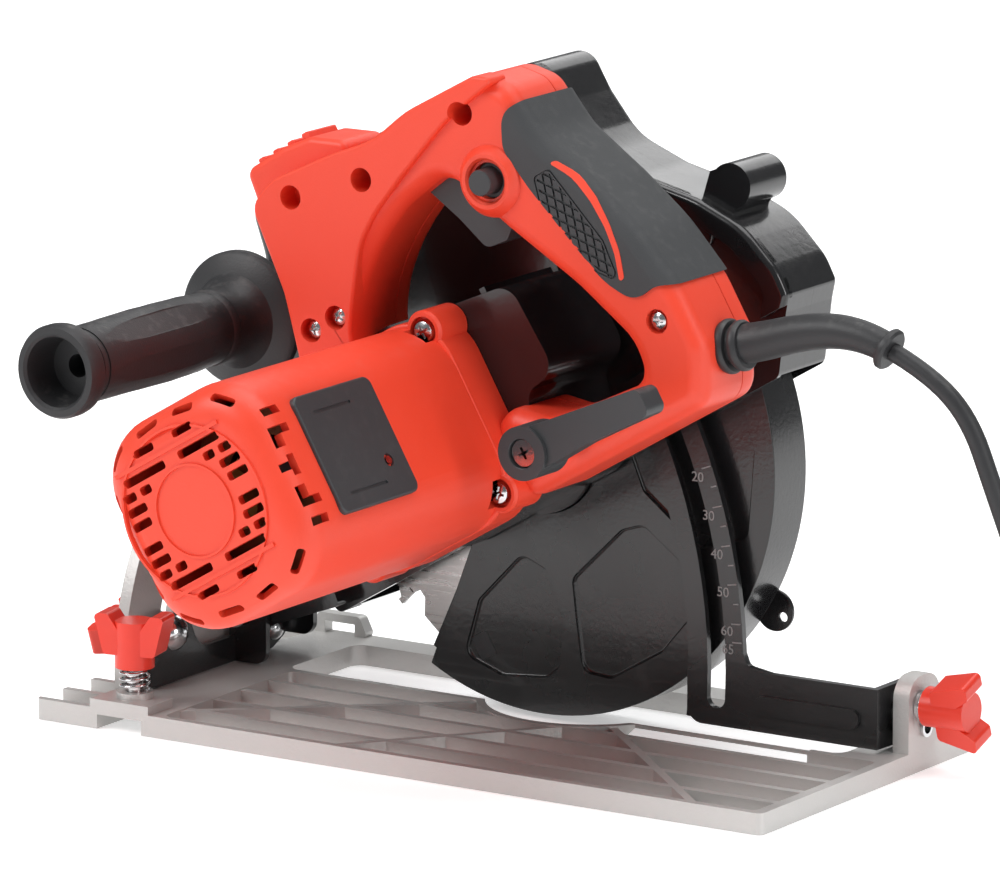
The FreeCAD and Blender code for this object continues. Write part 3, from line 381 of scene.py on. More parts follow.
def round_rim(obj, level, width, segments=5, axis=1):
    """Bevel the edges that lie at one level across an axis."""
    pick_edges(obj, lambda p: abs(p[axis] - level) < 0.01)
    bpy.ops.mesh.bevel(offset=width * MM, segments=segments, affect="EDGES", clamp_overlap=False)
    bpy.ops.object.mode_set(mode="OBJECT")


# %% Outlines and plates
def rounded(points, radii, fineness=0.16):
    """Corner points made into an outline whose corners are arcs."""
    count = len(points)
    radii = radii if isinstance(radii, (list, tuple)) else [radii] * count
    outline = []
    for i, radius in enumerate(radii):
        here = Vector(points[i])
        before, after = Vector(points[i - 1]) - here, Vector(points[(i + 1) % count]) - here
        half = before.angle(after) / 2
        if radius <= 0 or half > math.pi / 2 - 0.01:
            outline.append(tuple(here))
            continue
        reach = min(radius / math.tan(half), 0.49 * before.length, 0.49 * after.length)
        radius = reach * math.tan(half)
        centre = here + (before.normalized() + after.normalized()).normalized() * (radius / math.sin(half))
        arm = here + before.normalized() * reach - centre
        other = here + after.normalized() * reach - centre
        sweep = math.atan2(arm.x * other.y - arm.y * other.x, arm.dot(other))
        steps = max(2, int(abs(sweep) / fineness) + 1)
        for k in range(steps + 1):
            a = sweep * k / steps
            outline.append((centre.x + arm.x * math.cos(a) - arm.y * math.sin(a),
                            centre.y + arm.x * math.sin(a) + arm.y * math.cos(a)))
    return outline


def disc(centre, radius, count=48):
    return [(centre[0] + radius * math.cos(2 * math.pi * k / count),
             centre[1] + radius * math.sin(2 * math.pi * k / count)) for k in range(count)]


def grown(outline, amount):
    """The outline moved outwards by an amount, or inwards if it is negative."""
    area = sum(a[0] * b[1] - b[0] * a[1] for a, b in zip(outline, outline[1:] + outline[:1]))
    side = 1 if area > 0 else -1
    moved = []
    for i, here in enumerate(outline):
        tangent = Vector(outline[(i + 1) % len(outline)]) - Vector(outline[i - 1])
        tangent.normalize()
        moved.append((here[0] + tangent.y * amount * side, here[1] - tangent.x * amount * side))
    return moved


def plate(name, outline, low, high, plane="xz"):
    """A flat outline in millimetres, extruded across its plane."""
    bpy.ops.object.select_all(action="DESELECT")
    bpy.ops.mesh.primitive_circle_add(vertices=len(outline), radius=0.1, fill_type="NGON")
    obj = bpy.context.object
    obj.name = name
    places = {"xz": lambda u, v: (u, low, v), "yz": lambda u, v: (low, u, v), "xy": lambda u,
              v: (u, v, low)}
    for vertex, (u, v) in zip(obj.data.vertices, outline):
        vertex.co = Vector(places[plane](u, v)) * MM
    rise = {"xz": (0, 1, 0), "yz": (1, 0, 0), "xy": (0, 0, 1)}[plane]
    bpy.ops.object.mode_set(mode="EDIT")
    bpy.ops.mesh.select_all(action="SELECT")
    bpy.ops.mesh.extrude_region_move(TRANSFORM_OT_translate={"value": Vector(rise) * (high - low) * MM})
    bpy.ops.mesh.select_all(action="SELECT")
    bpy.ops.mesh.normals_make_consistent(inside=False)
    bpy.ops.object.mode_set(mode="OBJECT")
    return obj


def block(name, low, high):
    """A box between two corners, in millimetres."""
    bpy.ops.object.select_all(action="DESELECT")
    bpy.ops.mesh.primitive_cube_add(size=1.0)
    obj = bpy.context.object
    obj.name = name
    low, high = Vector(low) * MM, Vector(high) * MM
    obj.data.transform(Matrix.Translation((low + high) / 2) @ Matrix.Diagonal((*(high - low), 1)))
    return obj


def lathe(name, profile, centre, axis="y", steps=72):
    """A closed profile of (radius, level) pairs, spun about an axis through a centre."""
    bpy.ops.object.select_all(action="DESELECT")
    bpy.ops.mesh.primitive_circle_add(vertices=len(profile), radius=0.1, fill_type="NOTHING")
    obj = bpy.context.object
    obj.name = name
    place = {"y": lambda r, l: (centre[0] + r, l, centre[1]), "x": lambda r,
             l: (l, centre[0] + r, centre[1]),
             "z": lambda r, l: (centre[0] + r, centre[1], l)}[axis]
    for vertex, (r, level) in zip(obj.data.vertices, profile):
        vertex.co = Vector(place(r, level)) * MM
    middle = Vector(place(0, 0)) * MM
    direction = {"x": (1, 0, 0), "y": (0, 1, 0), "z": (0, 0, 1)}[axis]
    bpy.ops.object.mode_set(mode="EDIT")
    bpy.ops.mesh.select_all(action="SELECT")
    bpy.ops.mesh.spin(steps=steps, angle=2 * math.pi, center=middle, axis=direction)
    bpy.ops.mesh.select_all(action="SELECT")
    bpy.ops.mesh.remove_doubles(threshold=0.00002)
    bpy.ops.mesh.delete_loose(use_verts=True, use_edges=True, use_faces=False)
    bpy.ops.mesh.select_all(action="SELECT")
    bpy.ops.mesh.normals_make_consistent(inside=False)
    bpy.ops.object.mode_set(mode="OBJECT")
    return obj


# %% Joining, cutting and placing
def joined(name, objects):
    only(*objects)
    if len(objects) > 1:
        bpy.ops.object.join()
    objects[0].name = name
    return objects[0]


def cut(obj, *tools, operation="DIFFERENCE", solver="EXACT"):
    """Boolean each tool with the object, and remove the tool."""
    for tool in tools:
        apply_modifier(obj, "BOOLEAN", operation=operation, object=tool, solver=solver)
        bpy.data.objects.remove(tool)
    return obj


def copied(obj, name, matrix):
    """A copy with its own mesh, moved by a matrix."""
    twin = obj.copy()
    twin.data = obj.data.copy()
    twin.name = name
    twin.data.transform(matrix)
    bpy.context.scene.collection.objects.link(twin)
    return twin


def softened(node, name, width, segments=2, angle=28):
    """A copy of a CAD node with its doubled points merged and its sharp edges rounded."""
    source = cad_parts[node]
    obj = source.copy()
    obj.data = source.data.copy()
    obj.name, obj.parent = name, None
    for key in list(obj.keys()):
        del obj[key]
    bpy.context.scene.collection.objects.link(obj)
    only(obj)
    bpy.ops.mesh.customdata_custom_splitnormals_clear()
    bpy.ops.object.mode_set(mode="EDIT")
    bpy.ops.mesh.select_all(action="SELECT")
    bpy.ops.mesh.remove_doubles(threshold=0.00001)
    bpy.ops.mesh.dissolve_limited(angle_limit=math.radians(1.5))
    bpy.ops.object.mode_set(mode="OBJECT")
    apply_modifier(obj, "BEVEL", width=width * MM, segments=segments, limit_method="ANGLE",
                   angle_limit=math.radians(angle), use_clamp_overlap=True)
    return obj


def fit(obj, body, slot, *nodes, level=True, angle=32, material=None):
    """Smooth a piece, turn it to the raised position, give it its finish and let it ride."""
    if level:
        obj.data.transform(REST)
    only(obj)
    bpy.ops.object.shade_smooth_by_angle(angle=math.radians(angle))
    apply_modifier(obj, "WEIGHTED_NORMAL", keep_sharp=True)
    obj.data.materials.clear()
    obj.data.materials.append(material or finishes[slot])
    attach(obj, body)
    if nodes:
        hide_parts(*nodes)
    print(obj.name, "faces", len(obj.data.polygons))
    return obj


# %% [markdown]
# ## The handle
# The handle is two red mouldings joined on a seam.  The hand side is soft and round, while the
# face near the motor is a flat plate that stands a little proud, with a crisp edge that runs from
# the front leg over the top of the grip.  Two plates with wide rim bevels make the round body, and
# a third, thin one with a narrow bevel makes the proud face.

# %% Handle outlines
HANDLE = rounded(
    [(-34, 54), (-26, 84), (-23, 116), (-12, 121), (18, 118), (34, 115), (52, 118), (84, 117), (93, 108),
     (96, 88),
     (107, 64), (115, 43), (120, 20), (120, -2), (110, -20), (26, -20), (26, 8), (37, 12), (49, 2), (70,
                                                                                                     -1),
     (92, -3), (94, 11), (83, 37), (67, 66), (54, 93), (32, 90), (14, 82), (0, 71), (-8, 60), (-10, 50)],
    [7, 30, 7, 20, 40, 40, 40, 9, 9, 30, 60, 60, 30, 10, 9, 8, 7, 8, 10, 20, 7, 20, 60, 20, 9, 40, 60, 40,
     20, 5])
FACE = rounded(
    [(-34, 54), (-26, 84), (-23, 116), (-12, 121), (18, 118), (34, 115), (52, 118), (84, 117), (92, 112),
     (78, 110),
     (65, 108), (51, 103), (37, 98), (22, 92), (11, 85), (0, 71), (-8, 60), (-10, 50)],
    [3, 30, 7, 20, 40, 40, 40, 5, 1.5, 30, 60, 60, 60, 40, 30, 40, 20, 1])
SCREWS = {(-6, 112): -22, (24, 105): -22, (72, 108): -22, (108, 13): -35, (84, -9): -35, (-22, 68): -36,
          (-10.4, 67.7): -36}
BUTTON = (71, 83)

# %% Handle shells
HANDLE_SEAM, SOFT_RIM = -12.0, 6.5
shell = plate("handle_shell_near", HANDLE, -38.0, HANDLE_SEAM - 0.1)
round_rim(shell, -38.0, SOFT_RIM)
round_rim(shell, HANDLE_SEAM - 0.1, 0.4, 2)
face_plate = plate("handle_face", FACE, -40.4, -30.0)
round_rim(face_plate, -40.4, 1.3, 3)
cut(shell, face_plate, operation="UNION")
boss = lathe("button_boss", [(0, -36), (0, -39), (7.2, -39), (7.4, -40.4), (8.2, -41.2), (9.6, -41.2),
                             (11.2, -39.8),
                             (13.0, -37), (13.5, -34), (0, -34)], BUTTON)
cut(shell, boss, operation="UNION")
cut(shell, plate("button_bore", disc(BUTTON, 6.4), -46, -24))
bores = [plate("bore", disc(place, 4.3, 30), -46, level + 1.0) for place, level in SCREWS.items()]
cut(shell, joined("bores", bores), solver="MANIFOLD")
fit(shell, "saw_body", "red_plastic", "handle_left")
far_shell = plate("handle_shell_far", HANDLE, HANDLE_SEAM + 0.1, 0.0)
round_rim(far_shell, 0.0, SOFT_RIM)
round_rim(far_shell, HANDLE_SEAM + 0.1, 0.4, 2)
fit(far_shell, "saw_body", "red_plastic", "handle_right")

# %% Ridged cap over the front leg
cap = plate("front_leg_cap", rounded([(-28, 108), (-25.5, 129.5), (-7, 130), (5, 128.5), (18, 121),
                                      (16, 108)],
                                     [2, 4, 4, 5, 4, 2]), -31, -6)
round_rim(cap, -31, 2.5)
round_rim(cap, -6, 2.5)
for x in (-21, -14, -7, 0):
    ridge = plate("cap_ridge", rounded([(x, 118), (x + 3.2, 118), (x + 3.2, 131.2), (x, 131.2)], 0.8), -27,
                  -10)
    cut(cap, ridge, operation="UNION")
fit(cap, "saw_body", "red_plastic")

# %% [markdown]
# ## Screws
# A pan-head screw is a low dome with a cross pressed into it.  One head is spun and cut, and each
# place on the saw gets a copy with its own mesh.

# %% Pan-head screws
def pan_head(radius, height):
    """A cross-recess screw head at the origin that faces -Y."""
    profile = [(0, 0.6), (radius, 0.6), (radius, -height * 0.35), (radius * 0.86, -height * 0.75),
               (radius * 0.5, -height * 0.97), (0, -height)]
    head = lathe("screw_head", profile, (0, 0), steps=40)
    bar = radius * 0.62
    cut(head, plate("cross_a", rounded([(-bar, -0.45), (bar, -0.45), (bar, 0.45), (-bar, 0.45)], 0.2),
                    -height - 1,
                    -height + 1.1),
        plate("cross_b", rounded([(-0.45, -bar), (0.45, -bar), (0.45, bar), (-0.45, bar)], 0.2),
              -height - 1,
              -height + 1.1))
    return head


def set_screws(name, places, radius, height, *nodes):
    head = pan_head(radius, height)
    heads = []
    for k, ((x, z), level) in enumerate(places.items()):
        spin = Matrix.Rotation(0.7 * k, 4, "Y")
        heads.append(copied(head, "head", Matrix.Translation(Vector((x, level, z)) * MM) @ spin))
    bpy.data.objects.remove(head)
    return fit(joined(name, heads), "saw_body", "zinc_steel", *nodes)


set_screws("handle_screw_heads", SCREWS, 3.3, 2.4, "handle_screws")

# %% [markdown]
# ## The soft grip
# The palm side of the handle is covered by a charcoal rubber skin about a millimetre thick, which
# wraps round the back.  It is the handle's own rounded body, grown a little and kept only inside the
# skin's outline.  A panel of crossed grooves and an inlaid stripe are made in the same way.

# %% Grip skin
def handle_body(name, growth, low, high):
    """The round body of the handle, a little larger all over."""
    body = plate(name, grown(HANDLE, growth), low - growth, high + growth)
    round_rim(body, low - growth, SOFT_RIM)
    round_rim(body, high + growth, SOFT_RIM)
    return body


SKIN = rounded([(116, 104), (103, 103), (87, 101), (81.5, 90), (84.5, 74), (90, 54), (96, 33), (104, 22.5),
                (114, 24),
                (129, 17), (150, 22), (150, 70)], [3, 10, 9, 8, 20, 40, 30, 12, 12, 10, 5, 10])
skin = handle_body("grip_skin", 0.9, -38.0, 0.0)
cut(skin, plate("skin_limit", SKIN, -50, 10), operation="INTERSECT")
KNURL = [(89, 76), (94.5, 76), (102, 46), (101, 31), (96, 38), (85.5, 62)]
grooves = []
KNURL_CENTRE, KNURL_AXIS, DIAMOND = Vector((95, 54)), math.radians(-78), math.radians(29)
for k in range(-5, 6):
    for lean in (KNURL_AXIS - DIAMOND, KNURL_AXIS + DIAMOND):
        centre = KNURL_CENTRE + Vector((math.cos(KNURL_AXIS), math.sin(KNURL_AXIS))) * 6.4 * k
        along = Vector((math.cos(lean), math.sin(lean))) * 22.0
        across = Vector((-along.y, along.x)).normalized() * 0.4
        corners = [centre - along - across, centre + along - across, centre + along + across,
                   centre - along + across]
        grooves.append(plate("groove", [tuple(c) for c in corners], -40.5, -38.1))
groove_tool = grooves[0]
for other in grooves[1:]:
    cut(groove_tool, other, operation="UNION")
cut(groove_tool, plate("knurl_limit", rounded(KNURL, 2), -44, -30), operation="INTERSECT")
frame_line = plate("knurl_border", rounded(grown(KNURL, 1.2), 2), -40.5, -38.3)
cut(frame_line, plate("knurl_inner", rounded(grown(KNURL, 0.5), 2), -44, -30))
cut(skin, groove_tool, frame_line)
fit(skin, "saw_body", "soft_grip", "grip_cover")
stripe_path = [(97.5, 78), (103, 70), (106, 60), (107, 50), (106, 40), (103, 31)]
stripe_outline = [(x - 1.1, z) for x, z in stripe_path] + [(x + 1.1, z) for x, z in reversed(stripe_path)]
stripe = handle_body("grip_stripe", 1.1, -38.0, 0.0)
cut(stripe, plate("stripe_limit", rounded(stripe_outline, 20), -50, -25), operation="INTERSECT")
fit(stripe, "saw_body", "red_plastic")

# %% [markdown]
# ## The motor housing
# The motor hides in a deep red barrel with a domed end.  A rounded square is extruded along the
# motor's axis, the end rim gets a wide bevel for the dome, and a smaller barrel is cut out of it so
# that the vents open into a dark hollow.  The vents are cutters in rows that run the way the air
# leaves, left in four groups by the spokes around the plain middle disc.

# %% Barrel
MOTOR_X, MOTOR_Z = -9.0, 17.9
HOUSING_X, HOUSING_Z, BARREL_END = -6.5, 16.5, -163.0


def barrel_outline(shrink, corner):
    half_x, half_z = 36.5 - shrink, 38.0 - shrink
    return rounded([(HOUSING_X - half_x, HOUSING_Z - half_z), (HOUSING_X + half_x, HOUSING_Z - half_z),
                    (HOUSING_X + half_x, HOUSING_Z + half_z), (HOUSING_X - half_x,
                                                               HOUSING_Z + half_z)], corner)


barrel = plate("motor_barrel", barrel_outline(0, 23), BARREL_END, -30)
round_rim(barrel, BARREL_END, 11.5, 7)
skirt = plate("flange_skirt", grown(barrel_outline(0, 19), 0.3), -45, -28.2)
round_rim(skirt, -45, 1.0, 3)
cut(barrel, skirt, operation="UNION")
FLANGE_SCREWS = [(24, 48), (24, -13.5), (-38, 48), (-38, -13.5)]
for x, z in FLANGE_SCREWS:
    tower = lathe("screw_tower", [(0, -28.3), (7.2, -28.3), (7.2, -44), (6.4, -45.2), (0, -45.2)], (x, z),
                  steps=40)
    cut(barrel, tower, operation="UNION")
    lead_in = block("tower_web", (min(x, HOUSING_X), -42, min(z, HOUSING_Z)),
                    (max(x, HOUSING_X), -28.4, max(z, HOUSING_Z)))
    cut(barrel, lead_in, operation="UNION")
for x, z in FLANGE_SCREWS:
    cut(barrel, plate("seat", disc((x, z), 5.2, 32), -50, -42.6))
hollow = plate("barrel_hollow", barrel_outline(3, 20), BARREL_END + 3, -20)
round_rim(hollow, BARREL_END + 3, 9, 5)
cut(barrel, hollow)

# %% Rings and bars on the end face
for inner, outer in ((15.2, 16.4), (28.6, 29.8)):
    rib = lathe("end_ring", [(inner, -162), (inner + 0.2, -163.7), (outer - 0.2, -163.7), (outer, -162)],
                (MOTOR_X, MOTOR_Z))
    cut(barrel, rib, operation="UNION")
for side in (-1, 1):
    z = MOTOR_Z + side * 22.6
    bar = block("end_bar", (MOTOR_X - 24, -163.7, z - 0.7), (MOTOR_X + 24, -162, z + 0.7))
    cut(barrel, bar, operation="UNION")

# %% End vents
ROWS = {4.4: [(18.2, 27.2)], 9.4: [(17.4, 26.4)], 14.2: [(12.5, 17.4), (19.6, 25)], 18.9: [(3.2, 22.0)],
        26.2: [(4.5, 13.5)]}
vents = []
for dz, spans in ROWS.items():
    for side_z in (-1, 1):
        for side_x in (-1, 1):
            for a, b in spans:
                low, high = sorted((MOTOR_X + side_x * a, MOTOR_X + side_x * b))
                z = MOTOR_Z + side_z * dz
                half = 1.55 if dz < 25 else 1.4
                vents.append(plate("vent", rounded([(low, z - half), (high, z - half), (high, z + half),
                                                    (low, z + half)], 1.0, 0.5), -170, -155))
cut(barrel, joined("end_vents", vents))
EDGE_HALF, EDGE_ROUND = 36.5, 23.0
for degrees in (50, 76, 104, 130, 156, 180, 204, 230, 256, 284, 310):
    a = math.radians(degrees)
    heading = Vector((math.cos(a), math.sin(a)))
    reach = EDGE_HALF / max(abs(heading.x), abs(heading.y))
    corner_centre = Vector((EDGE_HALF - EDGE_ROUND, EDGE_HALF - EDGE_ROUND))
    toward = Vector((abs(heading.x), abs(heading.y)))
    if min(toward) * reach > EDGE_HALF - EDGE_ROUND:
        along = corner_centre.dot(toward)
        reach = along + math.sqrt(max(0.0, EDGE_ROUND ** 2 - corner_centre.length_squared + along ** 2))
    slot = plate("edge_vent", rounded([(-4.8, -1.6), (4.8, -1.6), (4.8, 1.6), (-4.8, 1.6)], 1.2, 0.5), -5,
                 5)
    lean = Matrix.Rotation(math.radians(-45), 4, "X")
    around = Matrix.Rotation(math.pi / 2 - a, 4, "Y")
    out = Matrix.Translation((0, 0, (reach - 3.6) * MM))
    centre = Matrix.Translation(Vector((HOUSING_X, BARREL_END + 3.6, HOUSING_Z)) * MM)
    slot.data.transform(centre @ around @ out @ lean)
    cut(barrel, slot)
SIDE_VENTS = [((-156.5, -148.5), (35.0, 38.0)), ((-157.5, -148.5), (28.0, 31.0)),
              ((-157.5, -153.5), (23.5, 31.0)),
              ((-155.5, -152.5), (13.0, 20.5)), ((-159.0, -152.5), (15.3, 18.3)), ((-157.5, -148.5),
                                                                                   (2.0, 5.0)),
              ((-157.5, -153.5), (2.0, 9.5)), ((-156.5, -148.5), (-5.0, -2.0))]
for (y0, y1), (z0, z1) in SIDE_VENTS:
    cut(barrel, block("side_vent", (15, y0, z0), (40, y1, z1)))
fit(barrel, "saw_body", "red_plastic", "motor_housing")
set_screws("flange_screw_heads", {place: -43.2 for place in FLANGE_SCREWS}, 4.0, 2.8, "housing_screws")

# %% Brush cover
COVER_X = 30.0
cover = plate("brush_cover_panel", rounded([(-142, -5), (-96, -5), (-96, 38), (-142, 38)], 3.5),
              COVER_X - 3,
              COVER_X + 1.4, "yz")
round_rim(cover, COVER_X + 1.4, 0.8, 3, axis=0)
for z0, z1 in ((30.5, 31.6), (0.6, 1.7)):
    cut(cover, plate("cover_groove", rounded([(-134, z0), (-112, z0), (-112, z1), (-134, z1)], 0.5, 0.5),
                     COVER_X + 0.9,
                     COVER_X + 3, "yz"))
cut(cover, plate("cover_bore", disc((-106, 8), 2.4, 24), COVER_X - 1, COVER_X + 3, "yz"))
fit(cover, "saw_body", "dark_plastic", "brush_cover")

# %% [markdown]
# ## The fixed blade guard
# The glossy black case over the blade is a casting in two halves.  The CAD halves already have the
# right walls and openings, so copies of them get rounded edges.  The proud rolled rim round the near
# face and the slotted boss are added on top.

# %% Guard halves and rim
GUARD_CORNERS = [(-108, -17.5), (104, -17.5), (118, 1), (122.5, 6), (123, 15), (118, 34), (106, 50),
                 (88, 67),
                 (75, 84), (72, 103), (72, 120), (30, 124), (-40, 127), (-66, 127), (-70, 106), (-92, 75),
                 (-104, 45), (-110, 15)]
GUARD_RADII = [3, 4, 4, 3, 20, 30, 40, 30, 25, 30, 8, 10, 20, 9, 20, 30, 30, 20]
GUARD = rounded(GUARD_CORNERS, GUARD_RADII)
near_half = softened("upper_guard_inner", "guard_near_half", 1.2)
fit(near_half, "saw_body", "black_nylon", "upper_guard_inner", level=False)
far_half = softened("upper_guard_outer", "guard_far_half", 0.8)
fit(far_half, "saw_body", "black_nylon", "upper_guard_outer", level=False)


def inset_corners(points, amount):
    """Corner points of the same outline, moved inwards by an amount (points run anticlockwise)."""
    moved = []
    for i, here in enumerate(points):
        here, before = Vector(here), Vector(points[i - 1])
        after = Vector(points[(i + 1) % len(points)])
        first, second = (here - before).normalized(), (after - here).normalized()
        inward = Vector((-first.y - second.y, first.x + second.x)).normalized()
        moved.append(tuple(here + inward * amount / max(0.3, inward.dot(Vector((-first.y, first.x))))))
    return moved


RIM_LEVEL, RIM_WIDTH, RIM_ROUND = 19.4, 8.5, 2.5
rim = plate("guard_rim", GUARD, RIM_LEVEL, 24.5)
round_rim(rim, RIM_LEVEL, RIM_ROUND)
groove_floor = plate("rim_inner", rounded(inset_corners(GUARD_CORNERS, RIM_WIDTH),
                                          [max(4, r - RIM_WIDTH) for r in GUARD_RADII]), 10, 30)
cut(rim, groove_floor)
cut(rim, plate("rim_keep", [(-130, -40), (130, -40), (130, 3), (100, 3), (40, 60), (-60, 60), (-130, 90)],
               10, 30))
apply_modifier(rim, "BEVEL", width=1.2 * MM, segments=3, limit_method="ANGLE", angle_limit=math.radians(50))
fit(rim, "saw_body", "black_nylon")
slot_boss = plate("guard_slot_boss", rounded([(94, 33.5), (106, 33.5), (106, 48.5), (94, 48.5)], 5.9),
                  20.4, 24.5)
round_rim(slot_boss, 20.4, 1.2, 3)
cut(slot_boss, plate("boss_slot", rounded([(97.6, 37), (102.4, 37), (102.4, 45), (97.6, 45)], 2.3), 15, 23))
fit(slot_boss, "saw_body", "black_nylon")

# %% [markdown]
# ## The moving guard
# The lower guard is pressed from sheet.  Its near wall carries three sunken panels between wide
# spokes, which stiffen it.  Each panel is a shallow cutter with a rounded floor edge, taken out of a
# softened copy of the CAD guard.

# %% Sunken panels
lower = softened("lower_guard", "lower_guard_shell", 0.45)
lower.data.transform(REST.inverted())
facing_plate = plate("panel_backing", disc((0, 0), 90, 96), 26.2, 27.6)
cut(facing_plate, plate("backing_bore", disc((0, 0), 31, 64), 20, 30))
cut(facing_plate, plate("backing_keep", [(-160, -96), (-92, -52), (-48, -21), (-30, -6), (0, 26), (33, 7),
                                        (150, 50), (150, 160), (-160, 160)], 20, 30))
cut(lower, facing_plate, operation="UNION")
PANELS = [[(-52, -36), (-27, -29), (-20, -38), (-23, -57), (-33, -71), (-40, -72), (-57, -64), (-68, -51)],
          [(-12, -45), (16, -38), (25, -40), (35, -63), (26, -77), (9, -83), (-15, -83), (-25, -76),
           (-18, -59)],
          [(78, 5), (33, -14), (31, -30), (42, -57), (62, -62), (80, -36), (86, -10)]]
for outline in PANELS:
    panel = plate("panel_tool", rounded(outline, 5), 20, 26.6)
    round_rim(panel, 26.6, 1.2, 4)
    cut(lower, panel)
apply_modifier(lower, "BEVEL", width=0.8 * MM, segments=2, limit_method="ANGLE",
               angle_limit=math.radians(50))
fit(lower, "lower_guard", "black_steel", "lower_guard")

# %% [markdown]
# ## Softened castings, levers and knobs
# A cast or moulded part never has a knife edge.  For the parts whose CAD shape is right, a copy is
# merged, flat faces are joined again, and a narrow bevel catches the light along every edge.

# %% Softened parts
SOFTENED = [("base_plate", "base", "cast_aluminium", 0.5),
            ("bevel_quadrant", "base", "cast_aluminium", 0.4),
            ("front_bracket", "bevel_frame", "black_steel", 0.5), ("depth_arm", "bevel_frame",
                                                                   "black_steel", 0.45),
            ("guide_clamp_knob", "guide_clamp", "red_knob", 1.1), ("front_wing_nut", "front_wing_nut",
                                                                   "red_knob", 1.1),
            ("rear_wing_knob", "rear_wing_knob", "red_knob", 1.1), ("depth_lever", "depth_lever",
                                                                    "dark_plastic", 1.1),
            ("gear_case", "saw_body", "black_nylon", 0.9), ("trigger", "trigger", "dark_plastic", 1.0),
            ("lock_off_button", "lock_off_button", "dark_plastic", 0.8)]
for node, body, slot, width in SOFTENED:
    fit(softened(node, node + "_finished", width), body, slot, node, level=False)

# %% [markdown]
# ## The auxiliary handle
# The side handle is a turned rubber grip: a broad guard disc, a swelling grip and a hollow end with a
# ring.  One closed profile is spun round its axis; grooves round the neck and long sunken panels in
# the grip are cut after.

# %% Auxiliary handle
AUX = (-72.0, 88.5)
aux = lathe("auxiliary_grip", [(4.1, -3), (23.4, -3), (24.5, -4), (24.5, -6.6), (23, -8.4), (17, -10.5),
                               (14.6, -13.5),
                               (13.4, -18), (13.0, -24), (13.6, -25), (13.6, -27.5), (13.0, -28.5), (13.4,
                                                                                                     -36),
                               (14.4, -50), (14.7, -62), (14.4, -80), (13.7, -96), (13.3, -104), (13.1,
                                                                                                  -107.5),
                               (14.6, -109.2), (16.2, -110.6), (16.5, -112.5), (16.5, -116), (15.6, -117.8),
                               (13.4, -118), (12.4, -117), (11.9, -112), (10.4, -104), (4.1,
                                                                                        -104)], AUX, steps=80)
for k in range(6):
    panel = plate("grip_panel", rounded([(-100, -4.6), (-44, -4.6), (-38, 0), (-44, 4.6), (-100, 4.6)],
                                        2.5), 13.6, 18,
                  "xy")
    round_rim(panel, 13.6, 0.6, 2, axis=2)
    turn_to_y = Matrix.Rotation(math.pi / 2, 4, "Z")
    panel.data.transform(Matrix.Translation(Vector((AUX[0], 0, AUX[1])) * MM) @ Matrix.Rotation(
        math.radians(60 * k + 12), 4, "Y") @ turn_to_y)
    cut(aux, panel)
for level in (-103.2, -106.2):
    cut(aux, lathe("neck_groove", [(12.9, level), (12.9, level - 1.1), (18, level - 1.1), (18, level)],
                   AUX))
fit(aux, "saw_body", "rubber_black", "auxiliary_handle")

# %% [markdown]
# ## The strain relief
# Where the lead leaves the handle a rubber sleeve keeps it from kinking.  It tapers along its curve,
# so it is a NURBS tube whose radius falls from point to point, with three collars and an end ring.

# %% Strain relief
RELIEF = [((92, -20, 151.5), 7.4), ((112, -20, 154.8), 7.0), ((137, -20, 163), 6.3),
          ((157, -20, 163.8), 5.6),
          ((167, -20, 159.8), 5.3)]
sleeve = nurbs_lead("relief_sleeve", [place for place, radius in RELIEF], 1.0)
for control, (place, radius) in zip(sleeve.data.splines[0].points, RELIEF):
    control.radius = radius
sleeve = made_mesh(sleeve)
rings = []
for place, towards, profile in (
        ((98.5, -20, 152.6), (20, 0, 3.3), [(0, 0), (9.6, 0), (10.2, 1), (10.2, 2.4), (9.4, 3.4),
                                            (0, 3.4)]),
        ((103.5, -20, 153.4), (20, 0, 3.6), [(0, 0), (9.0, 0), (9.5, 1), (9.5, 2.2), (8.8, 3.2), (0, 3.2)]),
        ((108.5, -20, 154.2), (20, 0, 4.2), [(0, 0), (8.3, 0), (8.8, 0.9), (8.8, 2.1), (8.0, 3.2),
                                             (0, 3.2)]),
        ((166.0, -20, 160.2), (12, 0, -5.2), [(0, 0), (6.9, 0), (7.4, 0.6), (7.4, 2.2), (6.6, 3.0),
                                              (0, 3.0)])):
    collar = lathe("collar", profile, (0, 0), axis="z", steps=48)
    facing_along = Vector(towards).to_track_quat("Z", "Y").to_matrix().to_4x4()
    collar.data.transform(Matrix.Translation(Vector(place) * MM) @ facing_along)
    rings.append(collar)
relief = joined("strain_relief_sleeve", [sleeve] + rings)
fit(relief, "saw_body", "rubber_black", "strain_relief", level=False, angle=40)
cuff = lathe("relief_cuff", [(0, 0), (10.6, 0), (11.6, 1.2), (12.0, 5), (12.0, 10), (0, 10)], (0, 0),
             axis="z", steps=56)
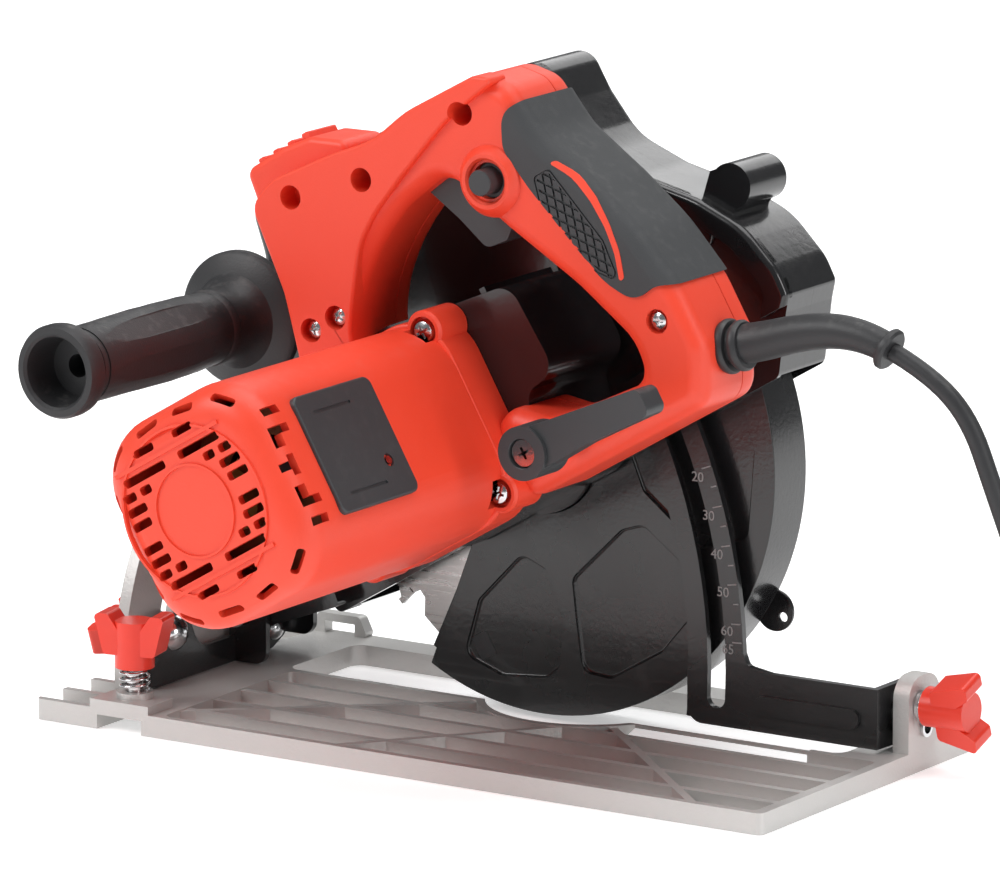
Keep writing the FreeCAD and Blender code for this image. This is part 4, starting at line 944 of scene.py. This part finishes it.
back_along = Vector((-20, 0, -3.3)).to_track_quat("Z", "Y").to_matrix().to_4x4()
cuff.data.transform(Matrix.Translation(Vector((97.6, -20, 152.4)) * MM) @ back_along)
fit(cuff, "saw_body", "red_plastic", level=False)

# %% [markdown]
# ## The depth scale
# Plain numbers and short ticks are raised along the outer edge of the depth arm.  Text is made a mesh
# before it is placed, so that it is stored like every other piece.

# %% Scale
ARM_CENTRE, ARM_FACE = Vector((-120.0, 28.0)), 19.0
TICK_END, TEXT_RADIUS, MARK_RADIUS, TEXT_DROP = 206.4, 201.0, 206.0, 2.6
marks = []
for value, height in ((20, 101), (25, 94.3), (30, 87.5), (35, 80.7), (40, 73.9), (45, 67.1), (50, 60.4),
                      (55, 53.5),
                      (60, 46.5), (65, 39.9)):
    rise = math.asin((height - ARM_CENTRE.y) / MARK_RADIUS)
    length = 3.6 if value % 10 == 0 or value == 65 else 2.2
    tick = block("tick", (TICK_END - length, ARM_FACE - 0.14, -0.22), (TICK_END, ARM_FACE + 0.1, 0.22))
    tick.data.transform(Matrix.Translation(Vector((ARM_CENTRE.x, 0,
                                                   ARM_CENTRE.y)) * MM) @ Matrix.Rotation(-rise, 4, "Y"))
    marks.append(tick)
    if length > 3:
        bpy.ops.object.text_add()
        label = bpy.context.object
        label.data.body = str(value)
        label.data.size = 5.0 * MM
        label.data.extrude = 0.12 * MM
        label.data.resolution_u = 3
        label.data.align_x, label.data.align_y = "CENTER", "CENTER"
        label = made_mesh(label)
        place = Vector((ARM_CENTRE.x + TEXT_RADIUS * math.cos(rise), ARM_FACE - 0.02,
                        ARM_CENTRE.y + TEXT_RADIUS * math.sin(rise) - TEXT_DROP))
        label.data.transform(Matrix.Translation(place * MM) @ Matrix.Rotation(math.pi / 2, 4, "X"))
        marks.append(label)
scale_ink = finish("scale_ink", (0.3, 0.3, 0.3), 0.6, 900, 0.00002, dust=0.0)
fit(joined("depth_scale_marks", marks), "bevel_frame", "black_steel", level=False, material=scale_ink)
